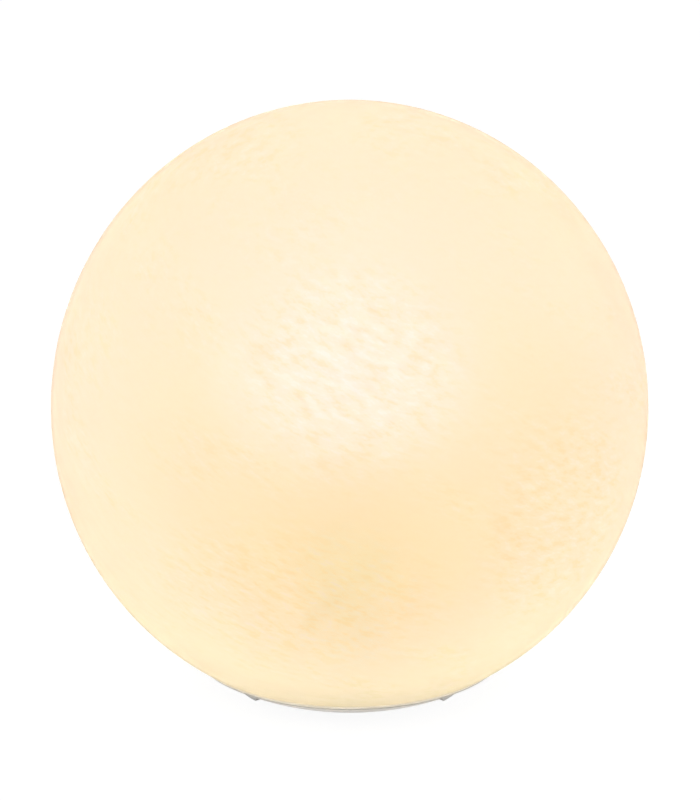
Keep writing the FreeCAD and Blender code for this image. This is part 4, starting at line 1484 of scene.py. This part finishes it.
def point(item: bpy.types.Object, place: Triple | Vector, aim: Vector) -> None:
    """Puts a light or camera in its place and points it.

    Args:
        item: the light or camera.
        place: where it stands, in metres.
        aim: the way that it looks.
    """
    item.location = place
    item.rotation_mode = "QUATERNION"
    item.rotation_quaternion = aim.to_track_quat("-Z", "Y")


@dataclass
class Studio:
    """The floor, the soft light and the camera."""

    floor_radius: float = 14.0
    floor_sides: int = 96
    floor_colour: Colour = (0.88, 0.88, 0.87)
    floor_grain_mm: float = 3.0
    floor_lift: float = 0.86
    floor_white: float = 1.077
    level: float = 0.62
    lights: tuple[SoftBox, ...] = (
        SoftBox("key_light", (-1.1, -1.3, 2.0), 1.5, 18.0),
        SoftBox("fill_light", (1.5, -0.9, 1.3), 1.6, 7.0),
    )
    elevation_deg: float = 18.0
    distance: float = 1.2
    target: Triple = (0.00015, 0.0, 0.1235)
    lens: float = 128.5
    sensor: float = 36.0
    clip: Point = (0.05, 60.0)

    def build(self) -> None:
        """Makes the floor, the world, the lights and the camera."""
        self._floor()
        self._world()
        for box in self.lights:
            self._soft_box(box)
        self._camera()
        bpy.context.scene.view_settings.view_transform = "Standard"
        log.info("studio ready")

    def _floor(self) -> None:
        """The plain pale floor, which keeps the lamp's shadow."""
        mesh = bmesh.new()
        bmesh.ops.create_circle(mesh, cap_ends=True, radius=self.floor_radius, segments=self.floor_sides)
        data = mesh_data(mesh, "floor")
        add_object("floor", data)
        data.materials.append(bpy.data.materials.new("floor_finish"))
        bench = NodeBench(data.materials[0])
        grain = bench.noise(self.floor_grain_mm)
        sockets = {
            "Base Color": (*self.floor_colour, 1.0),
            "Roughness": 0.9,
            "Specular IOR Level": 0.1,
            "Normal": bench.bump(grain, 0.01),
        }
        diffuse = bench.add("ShaderNodeBsdfPrincipled", None, sockets)
        white = bench.add("ShaderNodeEmission", None, {"Color": WHITE, "Strength": self.floor_white})
        mix = {0: self._seen(bench) * self.floor_lift, 1: diffuse.outputs[0], 2: white.outputs[0]}
        mixed = bench.add("ShaderNodeMixShader", None, mix)
        bench.add("ShaderNodeOutputMaterial", None, {"Surface": mixed.outputs[0]})

    @staticmethod
    def _seen(bench: NodeBench) -> Signal:
        """Tells where the floor or world is looked at, also in metal or through glass.

        Args:
            bench: the bench of its material or world.

        Returns:
            One where it is looked at, else zero.
        """
        path = bench.add("ShaderNodeLightPath")
        kinds = ("Is Camera Ray", "Is Glossy Ray", "Is Transmission Ray")
        camera, glossy, through = (Signal(bench, path.outputs[kind]) for kind in kinds)
        return camera.larger(glossy).larger(through)

    def _world(self) -> None:
        """An even pale surround, white where it is seen."""
        world = bpy.data.worlds.new("studio_world")
        bpy.context.scene.world = world
        bench = NodeBench(world)
        soft = bench.add("ShaderNodeBackground", None, {0: WHITE, 1: self.level})
        white = bench.add("ShaderNodeBackground", None, {0: WHITE, 1: 1.0})
        mix = {0: self._seen(bench), 1: soft.outputs[0], 2: white.outputs[0]}
        mixed = bench.add("ShaderNodeMixShader", None, mix)
        bench.add("ShaderNodeOutputWorld", None, {"Surface": mixed.outputs[0]})

    def _soft_box(self, box: SoftBox) -> None:
        """Hangs up one light, aimed at the lamp.

        Args:
            box: the light.
        """
        data = bpy.data.lights.new(box.name, "AREA")
        data.shape = "SQUARE"
        data.size = box.side
        data.energy = box.power
        point(add_object(box.name, data), box.place, Vector(self.target) - Vector(box.place))

    def _camera(self) -> None:
        """The camera in front, looking down a little."""
        data = bpy.data.cameras.new("camera")
        data.lens = self.lens
        data.sensor_width = self.sensor
        data.clip_start, data.clip_end = self.clip
        camera = add_object("camera", data)
        rise = math.radians(self.elevation_deg)
        back = Vector((0.0, -math.cos(rise), math.sin(rise)))
        point(camera, Vector(self.target) + back * self.distance, -back)
        bpy.context.scene.camera = camera


def main() -> None:
    """Builds the lamp's sub-assemblies in order, then the studio."""
    logging.basicConfig(level=logging.INFO, format="%(name)s: %(message)s")
    shop = Workshop()
    for assembly in (GlassGlobe(), LampBase(), Lampholder(), Bulb()):
        assembly.build(shop)
    Studio().build()


if __name__ == "__main__":
    main()
